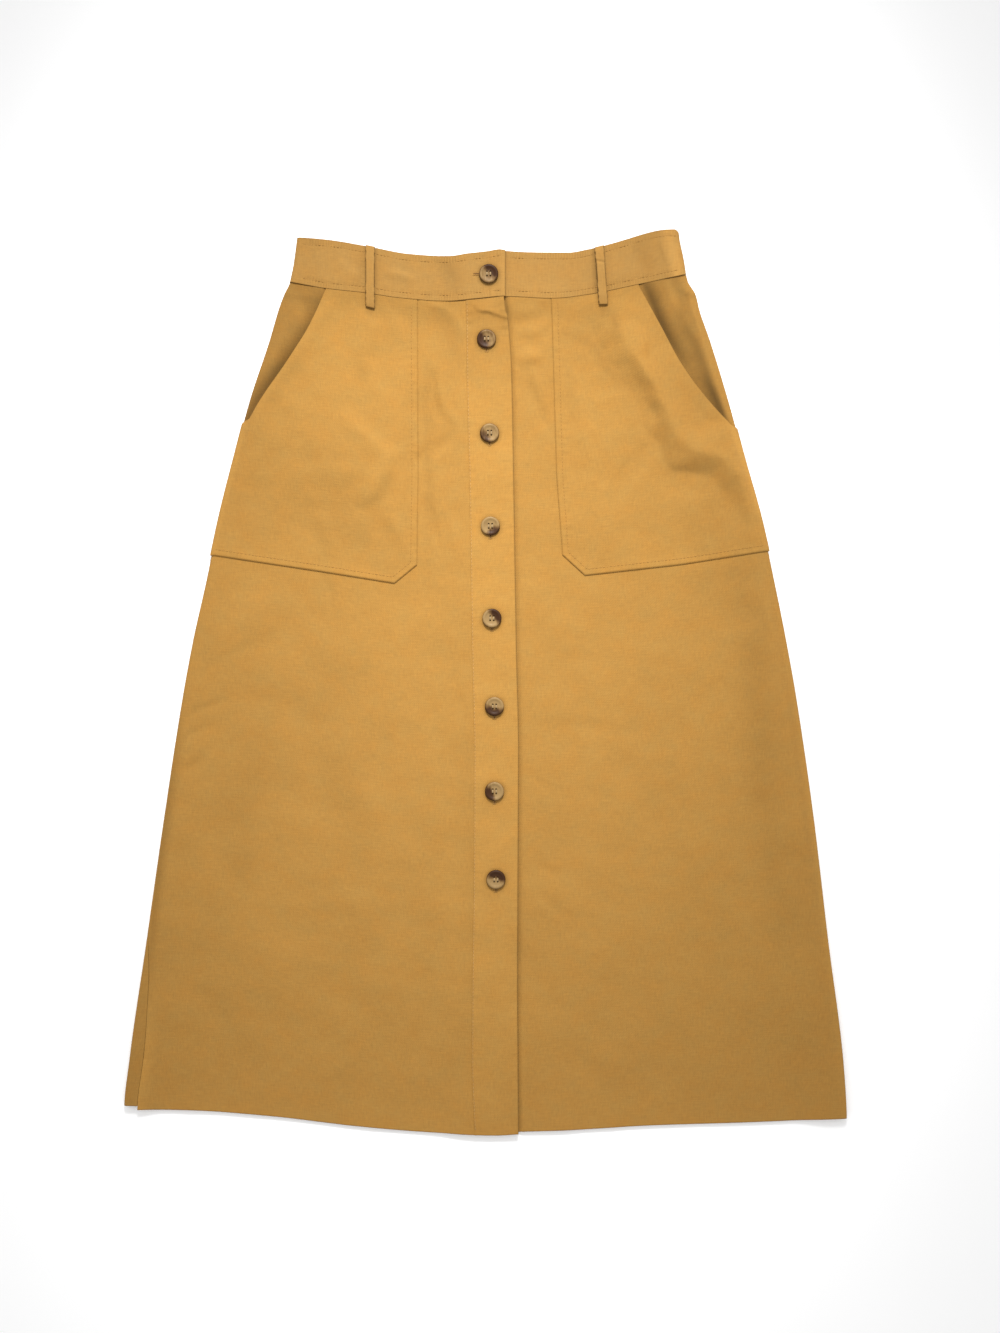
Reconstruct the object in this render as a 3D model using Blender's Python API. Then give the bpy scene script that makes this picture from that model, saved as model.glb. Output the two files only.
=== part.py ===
"""An A-line skirt that buttons down the front, laid flat on its back.

Lengths are in millimetres and become metres where a mesh is made. X runs to
the right across the front, Y towards the waist and Z up from the table. X and
Y are measured from the middle of the skirt's box.

The skirt is a flattened tube of cloth. The back lies on the table, the cloth
turns in a small soft roll at each side, and the front lies on the back. Every
wall is made between two lifts off the tube's outer face, so pieces that lie on
each other keep the same gap all over.
"""
import bisect
import math

import bmesh
import bpy

MM = 0.001
LEFT, RIGHT = -1, 1

# Cloth: the walls of the pieces and the gap that sewn neighbours keep
GAP = 0.3
PANEL_WALL = 1.2
POCKET_WALL = 1.0
PLACKET_WALL = 1.8
BAND_WALL = 2.4
LOOP_WALL = 1.3

# How it lies: the outside radius of the roll at each side, and how far inside
# the roll the front has come down to rest on the back
BODY_ROLL = 3.0
BAND_ROLL = 3.6
BODY_FOOT = {LEFT: 30.0, RIGHT: 48.0}
BAND_FOOT = {LEFT: 30.0, RIGHT: 36.0}
WAIST_RISE = 1.0          # the panels rise this much to meet the thicker band
WAIST_RISE_RUN = 25.0
BACK_SHORTER = 3.5        # the back's hem ends above the front's
RIGHT_SHORTER = 1.5       # and so does the right front's, under the placket
BACK_BAND_LOWER = 3.0     # the back of the waistband lies below the front's edge

# The sides of the body, from the waist seam to the hem
BODY_SIDES = (
    # y, left x, right x
    (358, -168.5, 174.5),
    (348, -169.5, 177.0),
    (337, -173.0, 182.5),
    (323, -179.0, 185.5),
    (297, -186.8, 194.0),
    (245, -203.4, 209.9),
    (193, -218.2, 225.5),
    (141, -231.2, 240.3),
    (88, -241.6, 249.9),
    (36, -253.0, 260.5),
    (-16, -262.5, 269.9),
    (-120, -278.2, 284.7),
    (-225, -293.0, 296.9),
    (-329, -308.6, 310.0),
    (-372, -313.0, 312.9),
    (-382, -313.0, 313.2),
)
# The two ends of the waistband's outline
BAND_SIDES = (
    # y, left x, right x
    (394, -160.5, 168.0),
    (386, -161.6, 169.0),
    (365, -163.4, 173.2),
    (346, -168.6, 175.6),
)
BAND_TOP = (
    # x, y
    (-161.6, 386.0),
    (-136.4, 384.3),
    (-101.6, 378.6),
    (-66.8, 372.2),
    (-30.2, 369.9),
    (-14.6, 371.9),
    (2.8, 373.9),
    (13.1, 375.5),
    (18.5, 374.7),
    (39.4, 373.5),
    (72.4, 373.2),
    (89.8, 376.0),
    (107.2, 380.2),
    (124.6, 385.2),
    (142.0, 390.3),
    (155.0, 392.6),
    (164.6, 393.0),
    (168.5, 391.0),
)
WAIST_SEAM = (
    # x, y
    (-168.5, 347.0),
    (-137.0, 341.7),
    (-105.0, 338.2),
    (-73.5, 333.6),
    (-30.0, 330.6),
    (-8.0, 332.5),
    (20.0, 334.8),
    (58.5, 333.2),
    (92.0, 336.9),
    (134.0, 345.5),
    (176.0, 354.0),
)
HEM = (
    # x, y
    (-313.0, -371.5),
    (-258.0, -372.0),
    (-190.0, -376.0),
    (-120.0, -384.0),
    (-50.0, -390.5),
    (10.0, -393.0),
    (32.0, -391.5),
    (72.0, -388.2),
    (142.0, -384.8),
    (230.0, -381.3),
    (313.0, -378.6),
)
# The button band on the left front: the seam that joins it and its free edge
PLACKET = (
    # y, seam x, free edge x
    (334, -16.3, 18.0),
    (310, -16.0, 20.7),
    (268, -15.6, 23.4),
    (176, -13.4, 25.1),
    (23, -11.0, 27.6),
    (-60, -9.2, 29.4),
    (-180, -9.7, 28.8),
    (-260, -10.9, 28.5),
    (-393, -7.6, 29.4),
)
# Near the hem the left side seam has rolled over onto the front
ROLLED_SEAM = (
    # y, how far the back comes round onto the front
    (-215, 0.0),
    (-240, 1.5),
    (-277, 7.0),
    (-324, 13.0),
    (-372, 17.0),
)

# The patch pockets, sewn into the waist seam and the side seam
POCKETS = {
    # side: mouth from the waist seam to the side seam, then the sewn edges
    LEFT: {
        "mouth": ((-137.8, 342.2), (-152.9, 308.6), (-172.9, 275.6),
                  (-192.9, 248.6), (-207.2, 227.7)),
        "foot": ((-235.7, 109.8), (-142.5, 95.8), (-78.5, 85.5)),
        "inner": ((-58.9, 101.6), (-57.8, 180.0), (-58.5, 333.0)),
    },
    RIGHT: {
        "mouth": ((135.1, 345.1), (156.6, 306.3), (174.2, 273.0),
                  (204.7, 235.6), (216.0, 223.4)),
        "foot": ((245.6, 113.5), (170.7, 101.8), (87.2, 92.4)),
        "inner": ((67.6, 110.3), (62.4, 180.0), (58.0, 333.0)),
    },
}
POCKET_OVERRUN = 12.0     # the pocket's cutter passes the waist and side seams

# Soft folds in the cloth: ridges along a line, which fade out `reach` away from it
BODY_FOLDS = (
    # name, side, height, reach, line
    ("left hip", LEFT, 2.4, 34, ((-236, 60), (-180, 92))),
    ("left thigh", LEFT, 3.2, 38, ((-122, -34), (-104, -86), (-66, -146))),
    ("left hem", LEFT, 3.6, 44, ((-214, -180), (-168, -238), (-117, -277), (-88, -328))),
    ("right thigh", RIGHT, 3.0, 64, ((160, 40), (178, -60), (184, -220))),
)
POCKET_FOLDS = (
    # name, side, height, reach, line
    ("left mouth", LEFT, 1.6, 24, ((-156, 305), (-174, 276), (-186, 259))),
    ("left middle", LEFT, 2.4, 32, ((-136, 262), (-112, 228), (-72, 196))),
    ("right mouth", RIGHT, 4.5, 34, ((126, 318), (137, 286), (158, 262), (174, 230), (202, 205))),
    ("right middle", RIGHT, 2.2, 30, ((86, 290), (106, 248))),
)

# Belt loops, sewn down at both ends and standing off the band between them
LOOP_WIDTH = 8.0
LOOP_SEAT = 0.4
LOOP_STEPS = 10
LOOP_ARCH = 2.4
LOOPS = (
    # name, top x, top y, foot x, foot y
    ("belt_loop_left", -99.4, 379.8, -99.4, 324.8),
    ("belt_loop_right", 99.4, 379.4, 103.1, 327.4),
)

# Buttons: four holes in a dished centre inside a raised rim
BUTTON_RADIUS = 8.3
BUTTON_PROFILE = (
    # share of the radius, height
    (0.90, 0.0),
    (1.00, 0.8),
    (1.00, 2.0),
    (0.93, 2.9),
    (0.80, 3.1),
    (0.62, 2.3),
)
BUTTON_SEGMENTS = 20
HOLE_RADIUS = 0.85
HOLE_PITCH = 3.0
HOLE_SIDES = 6
HOLE_OVERRUN = 1.0
BAND_BUTTON = (3.5, 353.9)
PLACKET_BUTTONS = (
    # x, y
    (1.6, 297.9),
    (4.3, 216.2),
    (5.0, 135.3),
    (6.3, 55.2),
    (8.5, -21.4),
    (8.5, -95.0),
    (9.8, -171.6),
)

# How finely the walls are divided
BODY_ROWS = 28
POCKET_ROWS = 12
BAND_ROWS = 4
PANEL_COLUMNS = 12
BAND_COLUMNS = 13
BACK_COLUMNS = 5
PLACKET_COLUMNS = 3
UNDERLAP_INSET = 3.0      # the underlap stops short of the placket's seam
RAMP = 34.0               # the left front climbs onto the underlap over this run
SMOOTH_BELOW = math.radians(40)

COTTON = (0.60, 0.36, 0.11)
HORN = (0.16, 0.09, 0.05)


def mix(start, end, share):
    return start + (end - start) * share


def ease(share):
    """0 below 0 and 1 above 1, with a smooth rise between them."""
    share = min(max(share, 0.0), 1.0)
    return share * share * (3 - 2 * share)


def spread(start, end, steps):
    return [mix(start, end, step / steps) for step in range(steps + 1)]


class Curve:
    """A smooth curve through one column of a table that never overshoots it."""

    def __init__(self, table, column=1):
        rows = sorted(table)
        self.at = [row[0] for row in rows]
        self.value = [row[column] for row in rows]
        steps = [
            (self.value[i + 1] - self.value[i]) / (self.at[i + 1] - self.at[i])
            for i in range(len(rows) - 1)
        ]
        self.slope = [steps[0]]
        for before, after in zip(steps, steps[1:]):
            level = before * after <= 0
            self.slope.append(0.0 if level else 2 * before * after / (before + after))
        self.slope.append(steps[-1])

    def __call__(self, at):
        at = min(max(at, self.at[0]), self.at[-1])
        i = min(max(bisect.bisect_right(self.at, at) - 1, 0), len(self.at) - 2)
        run = self.at[i + 1] - self.at[i]
        t = (at - self.at[i]) / run
        line = mix(self.value[i], self.value[i + 1], t * t * (3 - 2 * t))
        return line + run * t * (1 - t) * ((1 - t) * self.slope[i] - t * self.slope[i + 1])


def distance_to_line(x, y, line):
    nearest = math.inf
    for (ax, ay), (bx, by) in zip(line, line[1:]):
        run_x, run_y = bx - ax, by - ay
        share = ((x - ax) * run_x + (y - ay) * run_y) / (run_x ** 2 + run_y ** 2)
        share = min(max(share, 0.0), 1.0)
        nearest = min(nearest, math.hypot(x - ax - share * run_x, y - ay - share * run_y))
    return nearest


def folds(table, side, x, y):
    """The height that a table's soft folds give at one place."""
    height = 0.0
    for _, fold_side, crest, reach, line in table:
        if fold_side == side:
            fall = distance_to_line(x, y, line) / reach
            height += crest * (1 - min(fall, 1.0) ** 2) ** 2
    return height


class Tube:
    """A flattened tube of cloth, and the places on its outer face.

    A place is a side, `around` (the distance along the cloth from that side's
    outermost line, minus over the front and plus over the back) and `down`,
    from 0 at the upper edge to 1 at the lower edge.
    """

    def __init__(self, upper, lower, sides, roll, foot, rest):
        self.upper = upper
        self.lower = lower
        self.sides = {LEFT: Curve(sides, 1), RIGHT: Curve(sides, 2)}
        self.roll = roll
        self.quarter = roll * math.pi / 2
        self.foot = foot
        self.rest = rest
        self.corners = {
            side: (self.corner(side, upper), self.corner(side, lower)) for side in (LEFT, RIGHT)
        }

    def corner(self, side, level):
        """The Y where a side meets the upper or the lower edge."""
        y = level(0)
        for _ in range(20):
            y = level(self.sides[side](y))
        return y

    def edge(self, side, down):
        """How far out the outermost line lies."""
        return abs(self.sides[side](mix(*self.corners[side], down)))

    def around(self, side, x, down):
        """The place on the front that is seen at X from above."""
        return side * x + self.roll - self.quarter - self.edge(side, down)

    def plan(self, side, around, down):
        """X and Y of a place."""
        edge = self.edge(side, down)
        if abs(around) < self.quarter:
            reach = edge - self.roll * (1 - math.cos(around / self.roll))
        else:
            reach = edge - self.roll - (abs(around) - self.quarter)
        across = side * reach / edge
        upper = self.upper(across * self.edge(side, 0))
        lower = self.lower(across * self.edge(side, 1))
        return side * reach, mix(upper, lower, down)

    def height(self, side, x, y, down):
        """The height of the front's outer face."""
        inside = self.edge(side, down) - side * x - self.roll
        return mix(2 * self.roll, self.rest(side, x, y), ease(inside / self.foot[side]))

    def point(self, side, around, down, lift):
        """The place `lift` outside the cloth's outer face."""
        x, y = self.plan(side, around, down)
        if abs(around) < self.quarter:
            turn = around / self.roll
            x += side * lift * math.cos(turn)
            return x, y, self.roll - (self.roll + lift) * math.sin(turn)
        if around > 0:
            return x, y, -lift
        return x, y, self.height(side, x, y, down) + lift


def body_rest(side, x, y):
    rise = WAIST_RISE * ease(1 - (waist_seam(x) - y) / WAIST_RISE_RUN)
    return 2 * PANEL_WALL + GAP + rise + folds(BODY_FOLDS, side, x, y)


def band_rest(side, x, y):
    return 2 * BAND_WALL + GAP


waist_seam = Curve(WAIST_SEAM)
placket_seam = Curve(PLACKET, 1)
placket_edge = Curve(PLACKET, 2)
rolled_seam = Curve(ROLLED_SEAM)
body = Tube(waist_seam, Curve(HEM), BODY_SIDES, BODY_ROLL, BODY_FOOT, body_rest)
band = Tube(Curve(BAND_TOP), lambda x: waist_seam(x) + GAP, BAND_SIDES, BAND_ROLL, BAND_FOOT,
            band_rest)
BODY_LENGTH = body.upper(0) - body.lower(0)


def centre_y(down):
    """Y on the body's middle line."""
    return mix(body.upper(0), body.lower(0), down)


def rows(steps, shorter=0.0):
    """Rows from the waist seam to the hem, the last one a little short of it."""
    downs = spread(0, 1, steps)
    downs[-1] -= shorter / BODY_LENGTH
    return downs


def wall_points(tube, downs, columns, thickness, inner):
    """The inner and outer grid of a wall.

    `columns` gives a row's places as pairs of side and around; `inner` gives
    the lift of the wall's inner face.
    """
    grids = []
    for extra in (0.0, thickness):
        grid = []
        for down in downs:
            row = []
            for side, around in columns(down):
                lift = inner(side, *tube.plan(side, around, down)) + extra
                row.append(tube.point(side, around, down, lift))
            grid.append(row)
        grids.append(grid)
    return grids


def add_object(name, mesh_points, faces, colour, roughness):
    """One closed body from points in millimetres, faced outwards."""
    mesh = bpy.data.meshes.new(name)
    mesh.from_pydata([[value * MM for value in point] for point in mesh_points], [], faces)
    work = bmesh.new()
    work.from_mesh(mesh)
    bmesh.ops.recalc_face_normals(work, faces=work.faces)
    work.to_mesh(mesh)
    work.free()
    mesh.shade_smooth()
    mesh.set_sharp_from_angle(angle=SMOOTH_BELOW)
    material = bpy.data.materials.new(name)
    material.use_nodes = True
    shader = material.node_tree.nodes["Principled BSDF"]
    shader.inputs["Base Color"].default_value = (*colour, 1.0)
    shader.inputs["Roughness"].default_value = roughness
    mesh.materials.append(material)
    piece = bpy.data.objects.new(name, mesh)
    bpy.context.collection.objects.link(piece)
    return piece


def add_wall(name, grids):
    """A closed wall from an inner and an outer grid of points."""
    row_count, column_count = len(grids[0]), len(grids[0][0])
    points = [point for grid in grids for row in grid for point in row]

    def index(layer, row, column):
        return (layer * row_count + row) * column_count + column

    faces = []
    for layer in (0, 1):
        for row in range(row_count - 1):
            for column in range(column_count - 1):
                faces.append((
                    index(layer, row, column), index(layer, row, column + 1),
                    index(layer, row + 1, column + 1), index(layer, row + 1, column),
                ))
    # The rim runs once round the grid's edge and joins its two layers
    rim = [(0, column) for column in range(column_count - 1)]
    rim += [(row, column_count - 1) for row in range(row_count - 1)]
    rim += [(row_count - 1, column) for column in range(column_count - 1, 0, -1)]
    rim += [(row, 0) for row in range(row_count - 1, 0, -1)]
    for here, after in zip(rim, rim[1:] + rim[:1]):
        faces.append((index(0, *here), index(0, *after), index(1, *after), index(1, *here)))
    return add_object(name, points, faces, COTTON, 0.85)


def add_prism(name, outline, low, high):
    """A hidden upright prism to cut with."""
    count = len(outline)
    points = [(x, y, z) for z in (low, high) for x, y in outline]
    faces = [tuple(range(count)), tuple(range(count, 2 * count))]
    for i in range(count):
        after = (i + 1) % count
        faces.append((i, after, count + after, count + i))
    prism = add_object(name, points, faces, COTTON, 0.85)
    prism.hide_render = True
    prism.display_type = "WIRE"
    return prism


def cut(piece, cutter, operation):
    boolean = piece.modifiers.new("Cut", "BOOLEAN")
    boolean.operation = operation
    boolean.solver = "EXACT"
    boolean.object = cutter


def seam_columns(tube, side, seam, end):
    """Columns from a side seam on the front, over the roll, to a place inside."""
    roll = spread(seam, seam - tube.quarter, 3)
    return [(side, around) for around in roll[:-1] + spread(roll[-1], end, PANEL_COLUMNS)]


def add_back():
    def columns(down):
        y = mix(*body.corners[LEFT], down)
        left = spread(GAP / 2 - rolled_seam(y), body.quarter, 8)
        right = spread(GAP / 2, body.quarter, 4)
        places = [(LEFT, around) for around in left]
        for side in (LEFT, RIGHT):
            middle = body.quarter + body.edge(side, down) - body.roll
            flat = [(side, around) for around in spread(body.quarter, middle, BACK_COLUMNS)[1:]]
            places += flat if side == LEFT else flat[-2::-1]
        return places + [(RIGHT, around) for around in reversed(right)]

    def inner(side, x, y):
        return -PANEL_WALL

    downs = rows(BODY_ROWS, BACK_SHORTER)
    return add_wall("back", wall_points(body, downs, columns, PANEL_WALL, inner))


def front_left_columns(down):
    y = mix(*body.corners[LEFT], down)
    seam = -GAP / 2 - rolled_seam(y)
    end = body.around(LEFT, placket_seam(centre_y(down)) - GAP, down)
    return seam_columns(body, LEFT, seam, end)


def climb(x, y):
    """How far the left front has climbed towards the placket's level."""
    start = placket_seam(y) - RAMP
    return PLACKET_WALL * ease((x - start) / RAMP)


def add_front_left():
    def inner(side, x, y):
        return climb(x, y) - PANEL_WALL

    grids = wall_points(body, rows(BODY_ROWS), front_left_columns, PANEL_WALL, inner)
    return add_wall("front_left", grids)


def placket_xs(down):
    y = centre_y(down)
    return spread(placket_seam(y), placket_edge(y), PLACKET_COLUMNS)


def front_right_columns(down):
    placket = placket_xs(down)
    underlap = [placket[0] + UNDERLAP_INSET] + placket[1:-1]
    places = seam_columns(body, RIGHT, -GAP / 2, body.around(RIGHT, placket[-1], down))
    return places + [(RIGHT, body.around(RIGHT, x, down)) for x in reversed(underlap)]


def add_front_right():
    def inner(side, x, y):
        return -PANEL_WALL

    downs = rows(BODY_ROWS, RIGHT_SHORTER)
    grids = wall_points(body, downs, front_right_columns, PANEL_WALL, inner)
    return add_wall("front_right", grids)


def add_placket():
    """The button band, made from the underlap's own face."""
    def columns(down):
        return [(RIGHT, body.around(RIGHT, x, down)) for x in placket_xs(down)]

    def inner(side, x, y):
        return GAP

    grids = wall_points(body, rows(BODY_ROWS), columns, PLACKET_WALL, inner)
    return add_wall("placket", grids)


def pocket_lift(side, x, y):
    """The lift of a pocket's inner face off its panel's level."""
    rise = climb(x, y) if side == LEFT else 0.0
    return GAP + rise + folds(POCKET_FOLDS, side, x, y)


def add_pocket(name, side, columns):
    """A blank from the panel's own face, cut to the pocket's outline."""
    downs = rows(BODY_ROWS)[:POCKET_ROWS + 1]
    blank = add_wall(name, wall_points(body, downs, columns, POCKET_WALL, pocket_lift))
    shape = POCKETS[side]
    (top_x, top_y), (low_x, low_y) = shape["mouth"][0], shape["mouth"][-1]
    foot_x, foot_y = shape["foot"][0]
    end_x, end_y = shape["inner"][-1]
    beyond = side * POCKET_OVERRUN
    outline = [(end_x, end_y + POCKET_OVERRUN), (top_x, top_y + POCKET_OVERRUN)]
    outline += shape["mouth"]
    outline += [(low_x + beyond, low_y - POCKET_OVERRUN), (foot_x + beyond, foot_y)]
    outline += shape["foot"] + shape["inner"]
    cut(blank, add_prism(name + "_shape", outline, -POCKET_OVERRUN, 3 * POCKET_OVERRUN),
        "INTERSECT")
    return blank


def add_band_back():
    def columns(down):
        places = [(LEFT, around) for around in spread(GAP / 2, band.quarter, 4)]
        for side in (LEFT, RIGHT):
            middle = band.quarter + band.edge(side, down) - band.roll
            flat = [(side, around) for around in spread(band.quarter, middle, BACK_COLUMNS)[1:]]
            places += flat if side == LEFT else flat[-2::-1]
        return places + [(RIGHT, around) for around in spread(band.quarter, GAP / 2, 4)]

    def inner(side, x, y):
        return -BAND_WALL

    grids = wall_points(band, spread(0, 1, BAND_ROWS), columns, BAND_WALL, inner)
    for grid in grids:
        for column, (x, y, z) in enumerate(grid[0]):
            middle = ease((band.edge(LEFT, 0) - abs(x)) / band.foot[LEFT])
            grid[0][column] = (x, y - BACK_BAND_LOWER * middle, z)
    return add_wall("waistband_back", grids)


def band_columns(side, end_x):
    """Columns of a front half of the waistband, from its side seam to its end."""
    def columns(down):
        roll = spread(-GAP / 2, -band.quarter, 4)
        end = band.around(side, end_x, down)
        return [(side, around) for around in roll[:-1] + spread(roll[-1], end, BAND_COLUMNS)]
    return columns


def add_band_right():
    def inner(side, x, y):
        return -BAND_WALL

    end = placket_seam(BAND_BUTTON[1]) + UNDERLAP_INSET
    grids = wall_points(band, spread(0, 1, BAND_ROWS), band_columns(RIGHT, end), BAND_WALL, inner)
    return add_wall("waistband_right", grids)


def add_band_left():
    """The half with the buttonhole, which climbs over the end of the other."""
    seam = placket_seam(BAND_BUTTON[1])

    def inner(side, x, y):
        return (GAP + BAND_WALL) * ease((x - seam + RAMP) / RAMP) - BAND_WALL

    end = placket_edge(BAND_BUTTON[1])
    grids = wall_points(band, spread(0, 1, BAND_ROWS), band_columns(LEFT, end), BAND_WALL, inner)
    return add_wall("waistband_left", grids)


def add_belt_loop(name, top_x, top_y, foot_x, foot_y):
    """A strip over the waistband whose lower end is sewn to the pocket."""
    side = LEFT if top_x < 0 else RIGHT
    outward = foot_x + side * LOOP_WIDTH / 2
    pocket_top = (body_rest(side, outward, foot_y) + pocket_lift(side, outward, foot_y)
                  + POCKET_WALL)
    band_top = band_rest(side, top_x, top_y)
    grids = ([], [])
    for share in spread(0, 1, LOOP_STEPS):
        x, y = mix(top_x, foot_x, share), mix(top_y, foot_y, share)
        under = ease((waist_seam(x) - y) / LOOP_WIDTH + 0.5)
        arch = LOOP_ARCH * math.sqrt(math.sin(math.pi * share))
        low = mix(band_top, pocket_top, under) + LOOP_SEAT + arch
        for grid, z in zip(grids, (low, low + LOOP_WALL)):
            grid.append([(x - LOOP_WIDTH / 2, y, z), (x + LOOP_WIDTH / 2, y, z)])
    return add_wall(name, grids)


def button_mesh():
    """The turned shape of a button, without its holes."""
    points, faces = [], []
    for share, z in BUTTON_PROFILE:
        for step in range(BUTTON_SEGMENTS):
            turn = 2 * math.pi * step / BUTTON_SEGMENTS
            reach = share * BUTTON_RADIUS
            points.append((reach * math.cos(turn), reach * math.sin(turn), z))
    for ring in range(len(BUTTON_PROFILE) - 1):
        for step in range(BUTTON_SEGMENTS):
            here, after = ring * BUTTON_SEGMENTS, (step + 1) % BUTTON_SEGMENTS
            faces.append((here + step, here + after, here + BUTTON_SEGMENTS + after,
                          here + BUTTON_SEGMENTS + step))
    faces.append(tuple(range(BUTTON_SEGMENTS)))
    faces.append(tuple(range(len(points) - BUTTON_SEGMENTS, len(points))))
    return points, faces


def add_button(number, x, y, seat):
    piece = add_object(f"button_{number}", *button_mesh(), HORN, 0.3)
    piece.location = (x * MM, y * MM, seat * MM)
    high = BUTTON_PROFILE[-1][1] + HOLE_OVERRUN
    for hole in range(4):
        turn = math.pi / 4 + hole * math.pi / 2
        reach = HOLE_PITCH / math.sqrt(2)
        outline = []
        for corner in range(HOLE_SIDES):
            angle = 2 * math.pi * corner / HOLE_SIDES
            outline.append((reach * math.cos(turn) + HOLE_RADIUS * math.cos(angle),
                            reach * math.sin(turn) + HOLE_RADIUS * math.sin(angle)))
        cutter = add_prism(f"button_{number}_hole_{hole + 1}", outline, -HOLE_OVERRUN, high)
        cutter.parent = piece
        cut(piece, cutter, "DIFFERENCE")
    return piece


def add_buttons():
    band_seat = band_rest(LEFT, *BAND_BUTTON) + GAP + BAND_WALL + GAP
    pieces = [add_button(1, *BAND_BUTTON, band_seat)]
    for number, (x, y) in enumerate(PLACKET_BUTTONS, start=2):
        placket_top = max(body_rest(RIGHT, x, y + BUTTON_RADIUS), body_rest(RIGHT, x, y))
        pieces.append(add_button(number, x, y, placket_top + GAP + PLACKET_WALL + GAP))
    return pieces


def build():
    for item in list(bpy.data.objects):
        bpy.data.objects.remove(item)
    pieces = [
        add_back(),
        add_front_left(),
        add_front_right(),
        add_placket(),
        add_pocket("pocket_left", LEFT, front_left_columns),
        add_pocket("pocket_right", RIGHT, front_right_columns),
        add_band_back(),
        add_band_left(),
        add_band_right(),
    ]
    pieces += [add_belt_loop(*loop) for loop in LOOPS]
    pieces += add_buttons()
    skirt = bpy.data.objects.new("skirt", None)
    bpy.context.collection.objects.link(skirt)
    for piece in pieces:
        piece.parent = skirt


build()
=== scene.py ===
"""The looks of an A-line skirt, buttoned down the front, laid flat on its back.

Lengths are in millimetres and become metres where a mesh is made. X runs to
the right across the front, Y towards the waist and Z up from the table.

The cloth stands on the frame's own tables: a flattened tube for the body and
one for the waistband. Here each piece is a thin wall on a fine grid, with the
creases, the sewing and the finish that the frame leaves out.
"""
import math

import bpy
import numpy as np
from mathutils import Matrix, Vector


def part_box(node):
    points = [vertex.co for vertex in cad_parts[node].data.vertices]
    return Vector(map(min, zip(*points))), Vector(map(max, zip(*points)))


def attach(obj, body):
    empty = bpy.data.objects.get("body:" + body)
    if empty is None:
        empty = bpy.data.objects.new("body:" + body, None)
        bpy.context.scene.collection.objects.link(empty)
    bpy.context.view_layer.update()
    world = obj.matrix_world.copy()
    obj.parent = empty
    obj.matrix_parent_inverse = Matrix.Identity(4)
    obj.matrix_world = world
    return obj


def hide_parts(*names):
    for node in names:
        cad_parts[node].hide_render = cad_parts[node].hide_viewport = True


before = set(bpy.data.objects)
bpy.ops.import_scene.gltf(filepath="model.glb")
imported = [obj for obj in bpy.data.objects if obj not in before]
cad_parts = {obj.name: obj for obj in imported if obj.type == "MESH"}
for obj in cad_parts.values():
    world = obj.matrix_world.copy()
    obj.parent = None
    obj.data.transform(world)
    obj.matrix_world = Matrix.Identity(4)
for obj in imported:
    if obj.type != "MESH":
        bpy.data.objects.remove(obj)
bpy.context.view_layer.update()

MM = 0.001
LEFT, RIGHT = -1, 1
FRONT, BACK = 1, -1

# ---------------------------------------------------------------- the frame's sizes
GAP = 0.3
SIDE_GAP = 0.1             # the side seams are pressed closed
PANEL_WALL = 1.2
POCKET_WALL = 1.0
PLACKET_WALL = 1.8
BAND_WALL = 2.4
LOOP_WALL = 1.3
BODY_ROLL = 3.0
BAND_ROLL = 3.6
BODY_FOOT = {LEFT: 30.0, RIGHT: 48.0}
BAND_FOOT = {LEFT: 30.0, RIGHT: 36.0}
SEAM_RISE = 2.2            # the front comes up to the waistband's level at the seam
POCKET_SEAM_RISE = 1.0     # and less where it carries a pocket
WAIST_RISE_RUN = 22.0
BACK_SHORTER = 3.5
RIGHT_SHORTER = 1.5
BACK_BAND_LOWER = 3.0
UNDERLAP_INSET = 3.0
RAMP = 34.0

BODY_SIDES = (
    # y, left x, right x
    (358, -168.5, 174.5), (348, -169.5, 177.0), (337, -174.5, 183.5), (323, -179.6, 187.0),
    (297, -187.2, 196.0), (245, -204.4, 211.9), (193, -218.2, 226.0), (141, -231.2, 240.5),
    (88, -242.2, 252.0), (36, -253.8, 262.4), (-16, -263.3, 271.6), (-120, -279.3, 286.6),
    (-225, -294.3, 299.0), (-329, -309.3, 312.1), (-372, -313.8, 315.0), (-382, -313.8, 315.3),
)
BAND_SIDES = (
    # y, left x, right x
    (394, -162.0, 168.4), (386, -163.2, 169.4), (365, -166.0, 173.6), (346, -169.8, 176.4),
)
BAND_TOP = (
    # x, y
    (-161.6, 386.0), (-136.4, 384.3), (-101.6, 378.6), (-66.8, 372.2), (-30.2, 369.9),
    (-14.6, 371.9), (2.8, 373.9), (13.1, 375.5), (18.5, 374.7), (39.4, 373.5), (72.4, 373.2),
    (89.8, 376.0), (107.2, 380.2), (124.6, 385.2), (142.0, 390.3), (155.0, 392.6), (164.6, 393.0),
    (168.5, 391.0),
)
WAIST_SEAM = (
    # x, y
    (-168.5, 347.0), (-137.0, 341.7), (-105.0, 338.2), (-73.5, 333.6), (-30.0, 330.6),
    (-8.0, 332.5), (20.0, 334.8), (58.5, 333.2), (92.0, 336.9), (134.0, 345.5), (176.0, 354.0),
)
HEM = (
    # x, y
    (-313.0, -372.1), (-258.0, -373.1), (-190.0, -378.0), (-134.0, -384.5), (-120.0, -386.2),
    (-50.0, -392.2), (10.0, -394.7), (32.0, -393.4), (72.0, -392.1), (142.0, -388.0),
    (230.0, -385.2), (313.0, -381.4),
)
PLACKET = (
    # y, seam x, free edge x
    (334, -16.3, 18.0), (310, -16.0, 20.7), (268, -15.6, 23.4), (176, -13.4, 25.1),
    (23, -11.0, 27.6), (-60, -9.2, 29.4), (-180, -9.7, 28.8), (-260, -10.9, 28.5),
    (-330, -11.2, 28.9), (-393, -8.8, 29.4),
)
ROLLED_SEAM = (
    # y, how far the back comes round onto the front
    (-205, 0.0), (-228, 4.0), (-262, 9.5), (-324, 14.0), (-372, 13.5),
)
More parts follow.
